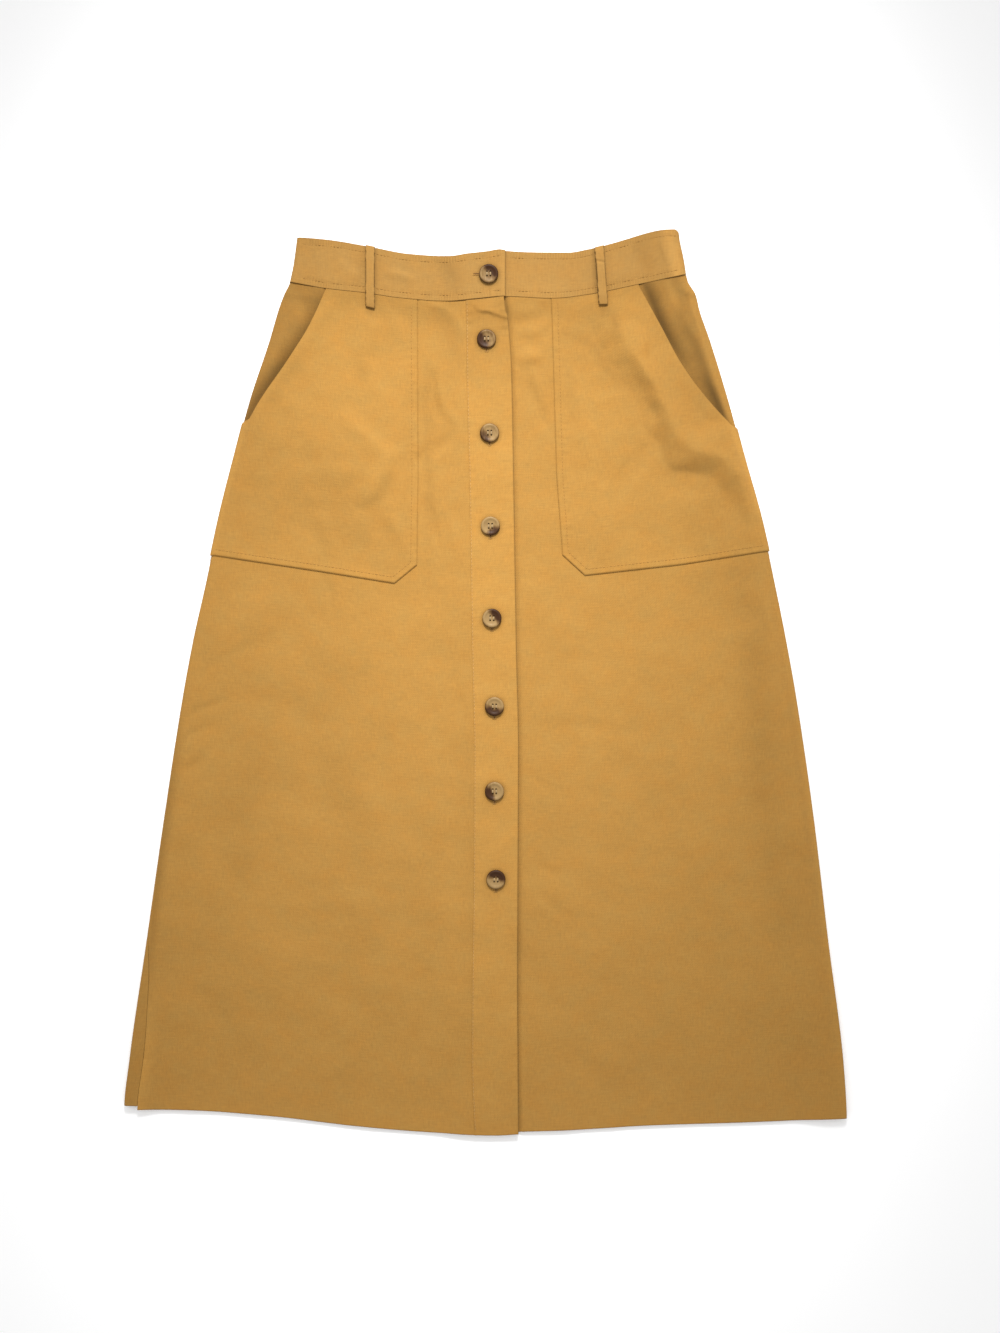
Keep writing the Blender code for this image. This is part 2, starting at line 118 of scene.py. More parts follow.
POCKETS = {
    # side: mouth from the waist seam to the side seam, then the sewn edges
    LEFT: {
        "mouth": ((-137.8, 342.2), (-152.9, 308.6), (-172.9, 275.6),
                  (-191.2, 248.6), (-203.8, 228.4)),
        "foot": ((-235.7, 109.8), (-142.5, 95.8), (-78.5, 85.5)),
        "inner": ((-58.9, 101.6), (-57.8, 180.0), (-58.5, 333.0)),
    },
    RIGHT: {
        "mouth": ((133.8, 345.1), (154.4, 306.3), (172.4, 273.0),
                  (201.4, 235.6), (214.6, 222.6)),
        "foot": ((245.6, 113.5), (170.7, 101.8), (87.2, 92.4)),
        "inner": ((67.6, 110.3), (62.4, 180.0), (58.0, 333.0)),
    },
}
LOOP_WIDTH = 8.0
LOOP_SEAT = 0.4
LOOP_ARCH = 2.4
LOOPS = (
    # name, top x, top y, foot x, foot y, slant of the foot, depth of the nick across it
    ("belt_loop_left", -99.4, 378.8, -99.4, 324.8, 0.24, 0.0),
    ("belt_loop_right", 99.4, 378.4, 103.1, 327.4, 0.0, 0.7),
)
LOOP_NICK = 0.27           # where the nick is, of the loop's length
LOOP_NICK_SLANT = 0.004    # how far it slants, of that length for each millimetre across
LOOP_NICK_REACH = 0.018
LOOP_WAVER = 0.15          # how far a loop's edges stray
LOOP_CROWN = 0.25          # a loop is this much thicker along its middle
LOOP_CROWN_RUN = 1.6
LOOP_FOOT_TACK = 3.0       # the foot is sewn down this far above its end
BUTTON_RADIUS = 8.3
BAND_BUTTON = (3.5, 353.9)
PLACKET_BUTTONS = (
    # x, y
    (1.6, 297.9), (4.3, 216.2), (5.0, 135.3), (6.3, 55.2), (8.5, -21.4), (8.5, -95.0),
    (9.8, -171.6),
)
BUTTONS = (BAND_BUTTON, *PLACKET_BUTTONS)

# ---------------------------------------------------------------- creases
# A row is a name, height, first reach, second reach, crest, foot and line.
# Each is a ridge, or a trough where the height is minus. The line runs from
# left to right or downwards. The first reach is above such a line, or to its
# right, and the second is on the other side. The crest is rounded by `crest`.
# The flanks are straight with a foot of 1, and run out softly with one of 2.
BODY_FOLDS = (
    ("left hip", 2, 34, 40, 12, 2, ((-248, 26), (-206, 52), (-160, 69))),
    ("left hip nick", -0.5, 10, 16, 4, 2, ((-256, 5), (-215, 24), (-175, 47))),
    ("left thigh", 2, 30, 36, 12, 1.7, ((-135, -37), (-117, -73), (-100, -119), (-65, -166))),
    ("left thigh trough", -0.5, 16, 26, 9, 2, ((-157, -30), (-135, -103), (-98, -164))),
    ("left shin", 1.3, 30, 36, 12, 1.8, ((-239, -188), (-183, -251), (-131, -291), (-88, -333))),
    ("left low crease", -1, 14, 20, 7, 2, ((-258, -258), (-226, -300), (-196, -352))),
    ("left knee", 1.2, 20, 44, 12, 1.8, ((-175, -200), (-131, -193), (-77, -202))),
    ("left lower seam", -1, 16, 9, 4, 2, ((-46, -250), (-56, -300), (-64, -340))),
    ("beside placket", -0.8, 6, 22, 4, 1.8, ((-39, 71), (-20, -33), (-16, -110), (-15, -240), (-13, -355))),
    ("left pressed", 0.8, 5, 5, 1.5, 2, ((-174, -34), (-177, -110), (-180, -196))),
    ("left under pocket", -1.2, 6, 8, 3, 2, ((-138, 92), (-135, 80), (-131, 61))),
    ("side nick one", -1, 5, 8, 1.5, 2, ((-262, -28), (-240, -22), (-222, -14))),
    ("side nick two", -0.8, 5, 7, 1.5, 2, ((-264, -50), (-246, -44), (-234, -40))),
    ("side nick three", -0.9, 6, 8, 1.5, 2, ((-268, -78), (-252, -72), (-238, -62))),
    ("side nick four", -0.9, 3, 3, 0.8, 1.4, ((-256, 43), (-243, 45), (-236, 43))),
    ("seam pucker", -1.4, 4, 5, 1.2, 2, ((-303, -322), (-296, -324), (-286, -328))),
    ("right thigh", 3.9, 54, 60, 16, 2, ((156, 56), (178, -60), (186, -230))),
    ("right side fall", 3.9, 26, 46, 9, 1.5, ((236, 158), (255, 80), (269, -16), (279, -103), (293, -225))),
    ("right under pocket", -2, 26, 30, 10, 2, ((198, 49), (220, 57), (245, 61))),
    ("right level", -0.8, 14, 16, 6, 2, ((44, -35), (100, -41), (160, -49))),
    ("right arc one", -0.8, 5, 7, 1.5, 2, ((38, -78), (48, -88), (56, -98))),
    ("right arc two", -0.8, 6, 7, 1.5, 2, ((44, -160), (58, -165), (72, -166))),
    ("right arc three", -0.8, 7, 8, 2, 2, ((42, -176), (62, -196), (80, -206))),
    ("right shin", -0.9, 26, 30, 10, 2, ((100, -250), (150, -300), (210, -330))),
    ("right hem soft", 0.9, 20, 24, 10, 2, ((65, -286), (100, -329), (144, -355))),
    ("waist fall", 0.8, 6, 11, 2, 1.6, ((-53, 330), (-39, 327), (-28, 316), (-20, 306), (-6, 304))),
    ("waist fall two", 1.4, 5, 7, 2, 1.6, ((-56, 336), (-46, 332), (-35, 330))),
    ("left gore strip", -1, 8, 10, 4, 2, ((-50, 280), (-49, 228), (-49, 176), (-48, 106))),
    ("left gore one", -1.4, 6, 8, 2, 1.6, ((-49, 273), (-44, 249), (-39, 226))),
    ("left gore two", 1, 8, 7, 1.5, 1.5, ((-42, 268), (-33, 242), (-20, 205))),
    ("left gore three", -1.7, 10, 9, 3, 2, ((-62, 191), (-46, 200), (-28, 214))),
    ("left gore four", 0.8, 10, 7, 2, 1.8, ((-39, 156), (-30, 134), (-20, 104))),
    ("left gore five", -1.4, 5, 9, 2, 2, ((-53, 165), (-46, 141), (-41, 113))),
    ("right waist arc", 1.2, 10, 7, 1.5, 1.6, ((25, 303), (39, 304), (52, 313), (59, 320))),
    ("right waist swell", 1.2, 12, 8, 3, 2, ((25, 316), (38, 322), (53, 325))),
    ("right gore brow", 1.8, 10, 9, 2, 1.7, ((29, 275), (38, 282), (53, 283))),
    ("right gore one", -1.5, 9, 7, 1.6, 1.6, ((36, 263), (45, 242), (57, 212))),
    ("right gore two", 0.9, 9, 8, 3, 2, ((40, 290), (45, 262), (47, 236))),
    ("left mouth side", 1, 10, 10, 3, 2, ((-168, 334), (-178, 300), (-190, 262))),
    ("right mouth side", 0.6, 8, 12, 3, 2, ((174, 340), (184, 318), (194, 286), (208, 246))),
    ("right mouth nick", -1.2, 3, 6, 1, 2, ((174, 330), (182, 333), (192, 330))),
)
POCKET_FOLDS = (
    ("left mouth", 1.6, 16, 34, 7, 2, ((-128, 349), (-150, 306), (-172, 273), (-201, 226), (-213, 206))),
    ("left crown", 6.6, 120, 80, 16, 1.15,
     ((-232, 224), (-194, 221), (-161, 218), (-131, 210), (-103, 191), (-70, 172), (-48, 165))),
    ("left brow", 1.4, 18, 38, 9, 2, ((-187, 172), (-143, 182), (-88, 179))),
    ("left hip patch", 0.7, 14, 34, 8, 1.8, ((-209, 247), (-182, 247), (-150, 236))),
    ("left ridge", 1.6, 13, 18, 4, 1.7, ((-124, 236), (-100, 210), (-75, 186))),
    ("left fall one", 1.2, 14, 22, 6, 1.8, ((-115, 297), (-98, 268), (-88, 235))),
    ("left fall two", 2, 14, 24, 6, 2, ((-112, 339), (-102, 313), (-100, 282))),
    ("left fall three", 1.1, 11, 13, 4, 1.8, ((-89, 332), (-79, 315), (-75, 294))),
    ("left fold", 2, 13, 14, 4, 1.6, ((-74, 205), (-87, 182), (-100, 161), (-108, 149))),
    ("left ridge two", 1.4, 12, 14, 5, 2, ((-88, 158), (-75, 132), (-67, 109))),
    ("left hip hollow", -1.4, 28, 16, 8, 2, ((-239, 109), (-202, 113), (-161, 108))),
    ("left foot crease", 1, 9, 16, 4, 1.8, ((-142, 148), (-136, 129), (-133, 109))),
    ("right hip", 7.2, 30, 22, 3, 1.1,
     ((100, 343), (110, 322), (118, 299), (131, 281), (146, 262), (155, 242), (165, 219), (179, 202),
      (206, 194), (223, 176), (239, 144), (249, 111))),
    ("right hip shoulder", 2.1, 26, 24, 8, 1.8, ((135, 336), (159, 294), (187, 249), (224, 210))),
    ("right hip hollow", -1.8, 12, 16, 4, 1.5, ((118, 278), (137, 250), (149, 219), (152, 181))),
    ("right hip foot", -1.8, 18, 22, 6, 1.6, ((144, 181), (165, 177), (187, 177), (213, 181))),
    ("right side nick", -1.6, 20, 14, 4, 1.6, ((199, 179), (217, 151), (234, 129))),
    ("right top hollow", -2.6, 30, 40, 9, 1.5, ((53, 297), (81, 290), (100, 275), (111, 247))),
    ("right hip patch", 2, 12, 34, 8, 2, ((112, 315), (135, 289), (146, 247))),
    ("right mid crease", -1.7, 14, 15, 6, 2, ((158, 212), (132, 191), (116, 158))),
    ("right level crease", -0.4, 11, 14, 5, 2, ((65, 156), (92, 156), (123, 160))),
    ("right upright one", 1, 11, 18, 6, 2, ((100, 172), (104, 132), (104, 90))),
    ("right upright two", 0.9, 11, 16, 6, 2, ((177, 170), (186, 136), (191, 101))),
    ("right upright three", 0.9, 10, 16, 6, 2, ((83, 250), (92, 202), (97, 153))),
    ("right loop hollow", -1, 36, 12, 5, 1.6, ((105, 296), (114, 292), (125, 292))),
)
MOUTH_FOLDS = (
    # Hollows in the panels beside and under the pockets' mouths
    ("left mouth", -1.6, 16, 12, 4, 2, ((-128, 352), (-152, 306), (-172, 272), (-200, 232), (-216, 208))),
    ("right mouth", -1.6, 14, 16, 4, 2, ((130, 352), (152, 315), (173, 273), (201, 236), (222, 214))),
)
PLACKET_FOLDS = (
    ("below band", 1.5, 12, 3, 1, 2, ((-10, 329), (-4, 323), (4, 322), (12, 319), (24, 316))),
    ("free edge top", 1.2, 6, 9, 4, 2, ((16, 340), (18, 326), (19, 306))),
    ("free edge low", 1.3, 6, 12, 4, 2, ((29, -150), (29, -215), (29, -275))),
    ("free edge hem", 1, 6, 12, 4, 2, ((29, -335), (30, -372), (30, -400))),
)
BAND_FOLDS = (
    ("left soft", 1.1, 7, 9, 3, 2, ((-89, 355), (-75, 354), (-58, 348))),
    ("left oval", 0.8, 10, 12, 5, 2, ((-135, 362), (-121, 360), (-107, 351))),
    ("left low", -0.5, 8, 8, 4, 2, ((-115, 365), (-109, 360), (-103, 353))),
    ("left hollow", -1.1, 12, 12, 5, 2, ((-44, 364), (-36, 354), (-30, 344))),
    ("left side", -0.9, 12, 12, 5, 2, ((-140, 378), (-136, 364), (-132, 350))),
    ("right hollow", -1.3, 12, 14, 4, 2, ((128, 376), (140, 368), (152, 358))),
    ("right pucker one", -0.9, 4, 4, 1, 2, ((146, 384), (150, 372), (154, 362))),
    ("right pucker two", -0.7, 4, 4, 1, 2, ((137, 380), (140, 370), (144, 360))),
    ("right pucker three", 0.9, 5, 4, 1, 2, ((151, 386), (155, 374), (158, 364))),
    ("right of loop", -0.7, 8, 8, 3, 2, ((84, 372), (86, 358), (88, 342))),
)

# ---------------------------------------------------------------- painted shade and light
# The same rows give painted shade, and painted light where the number is minus
MOUTH_SHADES = (
    # Painted shade and painted light behind the mouths
    ("left edge", 0.3, 5, 15, 3, 1.4,
     ((-136, 345), (-164, 289), (-189, 256), (-206, 228), (-220, 200), (-230, 176))),
    ("left patch", -0.1, 9, 11, 4, 2, ((-173, 341), (-162, 327), (-158, 308))),
    ("right edge", 0.48, 11, 5, 3, 1.4, ((132, 362), (144, 336), (152, 316), (160, 299), (177, 273))),
    ("right patch", -0.16, 6, 6, 3, 2, ((156, 353), (163, 337), (169, 320))),
    ("right side", 0.25, 5, 13, 3, 1.6,
     ((166, 332), (173, 311), (182, 296), (189, 278), (197, 257), (205, 236), (217, 205), (226, 181))),
    ("right nick", 0.16, 3, 5, 1.5, 2, ((166, 341), (178, 336), (190, 334))),
    ("right low", 0.26, 6, 8, 2, 1.6, ((189, 269), (199, 250), (206, 233), (215, 209))),
    ("left top", 0.14, 5, 8, 3, 2, ((-183, 336), (-164, 334), (-142, 331))),
    ("right strip", -0.12, 4, 5, 2, 2, ((177, 337), (186, 315), (193, 289), (202, 258))),
    ("left low", 0.1, 4, 8, 2, 1.6, ((-175, 280), (-193, 252), (-208, 224), (-218, 202))),
)
BODY_SHADES = (
    ("beside left pocket", 0.07, 9, 7, 4, 2, ((-51, 297), (-50, 219), (-49, 149), (-48, 71))),
    ("left of placket", 0.03, 4, 6, 2, 1.6, ((-13, 71), (-9, -103), (-9, -233), (-9, -373), (-8, -433))),
    ("left side", 0.22, 9, 3, 2, 1.6,
     ((-262, -7), (-272, -85), (-281, -146), (-288, -203), (-292, -246), (-296, -286))),
    ("right side", 0.09, 24, 26, 10, 1.8, ((222, 109), (233, 36), (238, -33), (243, -103), (250, -172))),
    ("right low side", 0.05, 26, 30, 10, 2, ((243, -120), (255, -190), (267, -259))),
    ("left thigh", 0.05, 60, 60, 20, 2, ((-194, 36), (-202, -68), (-202, -172))),
    ("waist", 0.06, 8, 44, 6, 1.6, ((-62, 316), (-30, 310), (-4, 306), (31, 324), (71, 327))),
    ("left corner", -0.16, 12, 22, 5, 1.6, ((-289, -277), (-296, -329), (-303, -373), (-309, -433))),
    ("left middle", 0.04, 50, 50, 20, 2, ((-135, 106), (-135, -16), (-100, -138))),
    ("left thigh dark", 0.06, 18, 18, 6, 2, ((-204, -4), (-161, -21), (-112, -58))),
    ("left hip dark", 0.045, 20, 20, 8, 2, ((-194, 78), (-161, 49), (-140, 22))),
    ("left shin dark", 0.05, 26, 26, 10, 2, ((-220, -94), (-215, -146), (-202, -199))),
    ("left knee dark", 0.045, 20, 20, 8, 2, ((-152, -185), (-117, -204), (-82, -240))),
    ("left middle pale", -0.05, 18, 18, 8, 2, ((-77, -11), (-53, -35), (-30, -68))),
    ("left placket pale", -0.035, 16, 24, 8, 2, ((-34, -68), (-28, -172), (-28, -294))),
    ("hem", -0.055, 80, 10, 20, 1.6, ((-370, -374), (-161, -380), (13, -393), (239, -380), (379, -373))),
    ("right rim", -0.12, 5, 8, 2, 1.6,
     ((248, 106), (270, -7), (285, -112), (299, -225), (311, -346), (318, -416))),
    ("left gore top", 0.09, 16, 20, 6, 2, ((-48, 332), (-30, 310), (-25, 271))),
    ("right under pocket", 0.07, 12, 22, 5, 2, ((163, 90), (205, 95), (250, 102))),
    ("right hem edge", -0.09, 8, 3, 2, 2, ((30, -277), (31, -338), (32, -416))),
)
POCKET_SHADES = (
    ("right waist", 0.09, 12, 36, 8, 1.6, ((48, 320), (83, 320), (118, 322), (142, 327))),
    ("right of loop", 0.05, 9, 8, 2, 1.6, ((108, 339), (113, 316), (118, 289))),
    ("right inner", 0.03, 10, 8, 4, 2, ((71, 289), (76, 245), (79, 210))),
    ("right foot", 0.06, 8, 6, 3, 1.6, ((152, 184), (175, 182), (201, 182))),
    ("left waist", 0.09, 12, 28, 6, 1.6, ((-135, 332), (-91, 327), (-48, 323))),
    ("left fall", 0.05, 10, 10, 4, 2, ((-110, 289), (-107, 269), (-105, 250))),
    ("left low", 0.05, 26, 26, 12, 2, ((-222, 141), (-161, 137), (-81, 127))),
    ("right side", -0.26, 9, 6, 3, 1.6,
     ((206, 240), (220, 210), (232, 177), (239, 153), (246, 132), (252, 97))),
    ("left side", -0.12, 6, 8, 3, 1.6, ((-204, 245), (-213, 210), (-225, 167), (-234, 123), (-239, 89))),
    ("left loop", 0.3, 6.5, 6.5, 0.5, 1, ((-99, 367), (-99, 343), (-99, 315))),
    ("right loop", 0.3, 6.5, 6.5, 0.5, 1, ((100, 370), (102, 343), (103, 315))),
    ("right arc", 0.11, 10, 10, 4, 2, ((59, 303), (90, 296), (109, 271), (135, 245))),
    ("right loop dark", 0.09, 7, 7, 3, 2, ((105, 332), (112, 313), (118, 292))),
    ("left brow", 0.06, 9, 12, 4, 2, ((-176, 189), (-126, 195), (-84, 184))),
    ("left foot", -0.055, 8, 8, 3, 2, ((-256, 118), (-161, 103), (-77, 92), (-53, 113))),
    ("right foot edge", -0.055, 8, 8, 3, 2, ((67, 116), (88, 99), (170, 107), (266, 120))),
    ("right flank", 0.08, 6, 6, 3, 2, ((139, 254), (152, 229), (165, 210))),
    ("right rim", -0.13, 7, 11, 3, 1.6,
     ((206, 238), (212, 223), (220, 202), (226, 180), (234, 156), (241, 132), (248, 106))),
)
BAND_SHADES = (
    ("right end", -0.34, 14, 10, 4, 1.6, ((154, 410), (163, 376), (173, 332))),
    ("right dark", 0.09, 12, 12, 5, 2, ((130, 388), (139, 369), (146, 346))),
    ("left oval", -0.07, 9, 9, 4, 2, ((-131, 358), (-121, 356), (-109, 355))),
    ("left dark", 0.06, 9, 9, 4, 2, ((-109, 374), (-105, 362), (-109, 341))),
    ("left end", 0.1, 7, 7, 3, 2, ((-164, 388), (-157, 386), (-142, 379))),
    ("middle dark", 0.12, 14, 18, 6, 2, ((-42, 376), (-30, 360), (-23, 332))),
    ("right of middle", -0.05, 8, 10, 4, 2, ((27, 341), (52, 341), (76, 344))),
    ("left loop", 0.34, 6.5, 6.5, 0.5, 1, ((-99, 410), (-99, 365), (-99, 318))),
    ("right loop", 0.42, 6.5, 7.5, 0.5, 1, ((98, 416), (99, 376), (101, 322))),
    ("left patch", -0.06, 9, 20, 5, 2, ((-150, 379), (-129, 376), (-109, 372))),
    ("free edge", -0.1, 0.8, 6, 1, 1.6, ((18, 406), (18, 365), (18, 315))),
)

# ---------------------------------------------------------------- relief and tone
PUFF = 1.1                  # the front lies this much above its lowest level
PUFF_RUN = 55.0             # and comes up to that over this much from the waist seam
HEM_PUFF_RUN = 60.0         # and over this much from the hem
POCKET_PUFF = 0.7           # a pocket stands this much off its panel
LOWEST_RELIEF = -0.2
CREASE_ENDS = 0.8           # the lower, the longer a crease keeps its height
SETTLE_SOFTNESS = 0.25
SIDE_FADE = 10.0            # creases die out this close to the side's roll
WAIST_FADE = 7.0            # and this close to the waist seam
POCKET_FADE = 26.0          # a pocket's creases die out this close to the waist seam
POCKET_EDGE_FADE = 15.0     # and this close to its sewn edges
POCKET_SPAN = (55, 142)     # where the waist seam carries a pocket, from the middle
POCKET_SPAN_RUN = 6.0
MOUTH_END_SLOPE = 0.8       # how steeply a mouth's end runs on around the side's roll
MOUTH_FADE = 14.0           # the hollow at a mouth dies out this close to the waist seam
MOUTH_SIDE = 4.0            # and is gone this close to the side
MOUTH_SIDE_RUN = 18.0
BAND_GAP = 0.12             # the waist seam, pressed closed
BAND_PUFF = 0.15
BAND_UNEVEN = 0.7           # the waistband's unevenness is this share of the front's
BAND_UNEVEN_SHIFT = 300.0   # and is taken from this far aside
BAND_FADE = 10.0
WAVES = 36
UNEVEN_SEED = 3
UNEVEN_HEIGHT = 0.0075      # of a wave's length
UNEVEN_LENGTHS = (13.0, 95.0)
WANDER_SEEDS = (5, 6)
WANDER = 0.045              # how far creases stray sideways, of a wave's length
WANDER_LENGTHS = (16.0, 60.0)
FREE_EDGE_DIP = 0.8         # the right front is pressed down beside the placket's free edge
FREE_EDGE_DIP_REACH = 4.0
POCKET_EDGE_FALL = 0.7      # a pocket's sewn edge is pressed this much thinner
POCKET_EDGE_RUN = 1.0
PLACKET_FLAP = 1.4          # the placket's sewn edge lies this far over the left front
PLACKET_FLAP_RUN = 0.6
PLACKET_FLAP_WALL = 0.22
PLACKET_TOP_INSET = 1.3     # the placket's free edge is drawn in under the waistband
PLACKET_TOP_LEVEL = 316.0
PLACKET_TOP_RUN = 5.0
FREE_EDGE_INSET = 3.5       # where the puckers along the placket's free edge lie

# Tones are 0 for the plain cloth, 1 for black and less than 0 for paler cloth. Most of them are painted
# shade and painted light.
RIM_SHARES = (1.0, 0.4)     # painted shade along a piece's edges, in its first and second row
ROLLED_SHADE = 0.05         # painted shade: the back's turned-up strip is darker than the front
PLACKET_TONE = -0.07        # the placket is paler
PLACKET_TOP_TONE = 0.09     # with painted shade on it near the waist
PLACKET_TONE_START = 20.0   # under the waist seam
PLACKET_TONE_RUN = 95.0
WAIST_SHADE = 0.06          # painted shade on the cloth just under the waistband
WAIST_SHADE_RUN = 16.0
MOUTH_SHADE = 0.20          # painted shade on the panel behind a pocket's mouth
MOUTH_SHADE_SIDE = 3.0      # on the right it starts this far from the side
MOUTH_SHADE_SIDE_RUN = 6.0
MOUTH_SHADE_EDGE = 2.0      # it reaches this far under the pocket
MOUTH_SHADE_FOOT = 205.0    # and is gone at this level
MOUTH_SHADE_FOOT_RUN = 20.0
BUTTON_SHADOW = 0.22         # painted shadow around and below a button
BUTTON_SHADOW_REACH = 4.0
BUTTON_SHADOW_DROP = 1.0
FREE_EDGE_SHADOW = 0.26      # painted shadow on the right front, beside the placket's free edge
FREE_EDGE_SHADOW_REACH = 1.0
FREE_EDGE_TOP_REACH = 1.4   # and this much further out from FREE_EDGE_TOP up
FREE_EDGE_TOP = 318.0
FREE_EDGE_TOP_RUN = 6.0
# a wider, softer painted shadow beside the free edge
FREE_EDGE_SOFT_SHADOW = 0.04
FREE_EDGE_SOFT_SHADOW_REACH = 7.0
BAND_EDGE_SHADE = 0.25      # painted shadow on the waistband's right half, beside the left half
BAND_EDGE_SHADE_REACH = 1.3
TICK_LIGHT_AND_SHADE = 0.07           # painted light and shade of the puckers across the waistband's edges
TICK_SPACING = 2.3
TICK_REACH = 6.5
TICK_START = 1.5

# ---------------------------------------------------------------- stitches
STITCH_PITCH = 3.2
STITCH_LENGTH = 2.5
STITCH_START = 0.4
STITCH_RADIUS = 0.24
STITCH_INSET = 5.4          # from the edges of a pocket or of the waistband
STITCH_END = 2.0            # a row of stitches stops this far from the end of the cloth
PLACKET_STITCH_INSET = 0.9
GROOVE_REACH = 2.0

# ---------------------------------------------------------------- grids
EDGE_STEPS = np.array([0, 0.6, 1.2, 2.0, 2.8, 3.6, 4.4, 5.1, 5.7, 6.3, 7.1, 8.2, 10.0, 12.4])
COARSE_EDGE_STEPS = np.array([0, 0.6, 1.3, 2.2, 3.4, 5.0, 8.0])
PLACKET_TOP_STEPS = np.concatenate([[0, 0.6, 1.2, 2.0, 3.0, 4.0, 5.0], np.arange(6.0, 30.0, 1.0)])
PLAIN_STEPS = np.array([0.0, 1.0])
LOOP_END_STEPS = np.array([0, 0.01, 0.025, 0.045])
LOOP_EDGE_STEPS = np.array([0, 0.4, 0.9, 1.4, 1.9, 2.4])
RIM_TURNS = np.radians([50, 0, -50])
LINE_STEPS = 8              # between two points of a crease
MOUTH_POINTS = 40
SEWING_STEP = 1.0
POCKET_STEP = 2.5
CORNER_ROUNDS = 20
FIND_ROUNDS = 12
ROLL_END = 8.0              # the back is flat this far under its side

# Rows and columns between the close steps at a piece's edges
BODY_ROWS, LEFT_COLUMNS, RIGHT_COLUMNS, UNDERLAP_COLUMNS = 230, 96, 88, 6
BACK_ROWS, BACK_ROLL_COLUMNS, BACK_COLUMNS = 110, 26, 36
PLACKET_ROWS, PLACKET_COLUMNS = 280, 22
MOUTH_ROWS, POCKET_SIDE_ROWS, FOOT_COLUMNS, CUT_CORNER_COLUMNS = 64, 50, 76, 6
BAND_ROWS, BAND_COLUMNS, BAND_BACK_COLUMNS = 14, 300, 60
LOOP_ROWS, LOOP_COLUMNS = 60, 4


def mix(start, end, share):
    return start + (end - start) * share


def ease(share):
    """0 below 0 and 1 above 1, with a smooth rise between them."""
    share = np.clip(share, 0.0, 1.0)
    return share * share * (3 - 2 * share)


def fade(share):
    """1 below 0 and 0 above 1."""
    return 1 - ease(share)


def together(*parts):
    """One grid of points from a grid or a number for each axis."""
    return np.stack(np.broadcast_arrays(*parts), -1)


def edges_of(grid):
    """What a grid holds along its four edges, once round."""
    return np.concatenate([grid[0, :-1], grid[:-1, -1], grid[-1, :0:-1], grid[:0:-1, 0]])


def drift(at, short, long):
    """A wave from -1 to 1 whose length keeps changing."""
    return np.sin(at / short + 2 * np.sin(at / long))


class Curve:
    """A smooth curve through one column of a table that never overshoots it."""

    def __init__(self, table, column=1):
        rows = np.array(sorted(table), float)
        self.at, self.value = rows[:, 0], rows[:, column]
        steps = np.diff(self.value) / np.diff(self.at)
        before, after = steps[:-1], steps[1:]
        rising = before * after > 0
        inner = np.zeros(len(before))
        inner[rising] = (2 * before * after / (before + after + ~rising))[rising]
        self.slope = np.concatenate([steps[:1], inner, steps[-1:]])

    def __call__(self, at):
        at = np.clip(at, self.at[0], self.at[-1])
        i = np.clip(np.searchsorted(self.at, at, side="right") - 1, 0, len(self.at) - 2)
        run = self.at[i + 1] - self.at[i]
        t = (at - self.at[i]) / run
        line = mix(self.value[i], self.value[i + 1], t * t * (3 - 2 * t))
        return line + run * t * (1 - t) * ((1 - t) * self.slope[i] - t * self.slope[i + 1])


def smooth_line(points):
    """A smooth line through a few points (Catmull-Rom)."""
    points = np.array(points, float)
    padded = np.vstack([2 * points[0] - points[1], points, 2 * points[-1] - points[-2]])
    t = np.linspace(0, 1, LINE_STEPS, endpoint=False)[:, None]
    parts = []
    for p0, p1, p2, p3 in zip(padded, padded[1:], padded[2:], padded[3:]):
        parts.append(0.5 * (2 * p1 + (p2 - p0) * t + (2 * p0 - 5 * p1 + 4 * p2 - p3) * t ** 2
                            + (3 * p1 - p0 - 3 * p2 + p3) * t ** 3))
    return np.vstack(parts + [points[-1:]])


def lengths(line):
    """How far along a line each of its points is."""
    return np.concatenate([[0], np.cumsum(np.linalg.norm(np.diff(line, axis=0), axis=1))])


def resample(line, places):
    """The points of a line at the given distances along it."""
    at = lengths(line)
    return np.stack([np.interp(places, at, line[:, axis]) for axis in range(line.shape[1])], -1)


def near_line(x, y, line):
    """The signed distance to a line, plus on its left hand, and the place along it."""
    at = lengths(line)
    best = np.full(x.shape, np.inf)
    signed = np.zeros(x.shape)
    place = np.zeros(x.shape)
    for i in range(len(line) - 1):
        (ax, ay), (bx, by) = line[i], line[i + 1]
        run_x, run_y = bx - ax, by - ay
        length = math.hypot(run_x, run_y)
        share = np.clip(((x - ax) * run_x + (y - ay) * run_y) / length ** 2, 0, 1)
        distance = np.hypot(x - ax - share * run_x, y - ay - share * run_y)
        cross = run_x * (y - ay) - run_y * (x - ax)
        closer = distance < best
        best = np.where(closer, distance, best)
        signed = np.where(closer, np.where(cross < 0, -distance, distance), signed)
        place = np.where(closer, at[i] + share * length, place)
    return signed, place


def close_to(x, y, line, reach):
    low, high = line.min(0) - reach, line.max(0) + reach
    return (x > low[0]) & (x < high[0]) & (y > low[1]) & (y < high[1])


def waves(x, y, seed, lengths_range):
    """Waves of many lengths and directions, as high as they are long."""
    rng = np.random.default_rng(seed)
    shortest, longest = lengths_range
    height = np.zeros(np.broadcast(x, y).shape)
    for _ in range(WAVES):
        length = shortest * (longest / shortest) ** rng.random()
        turn, phase = rng.uniform(0, 2 * math.pi, 2)
        across = x * math.cos(turn) + y * math.sin(turn)
        height += length * np.sin(across * 2 * math.pi / length + phase)
    return height / math.sqrt(WAVES)


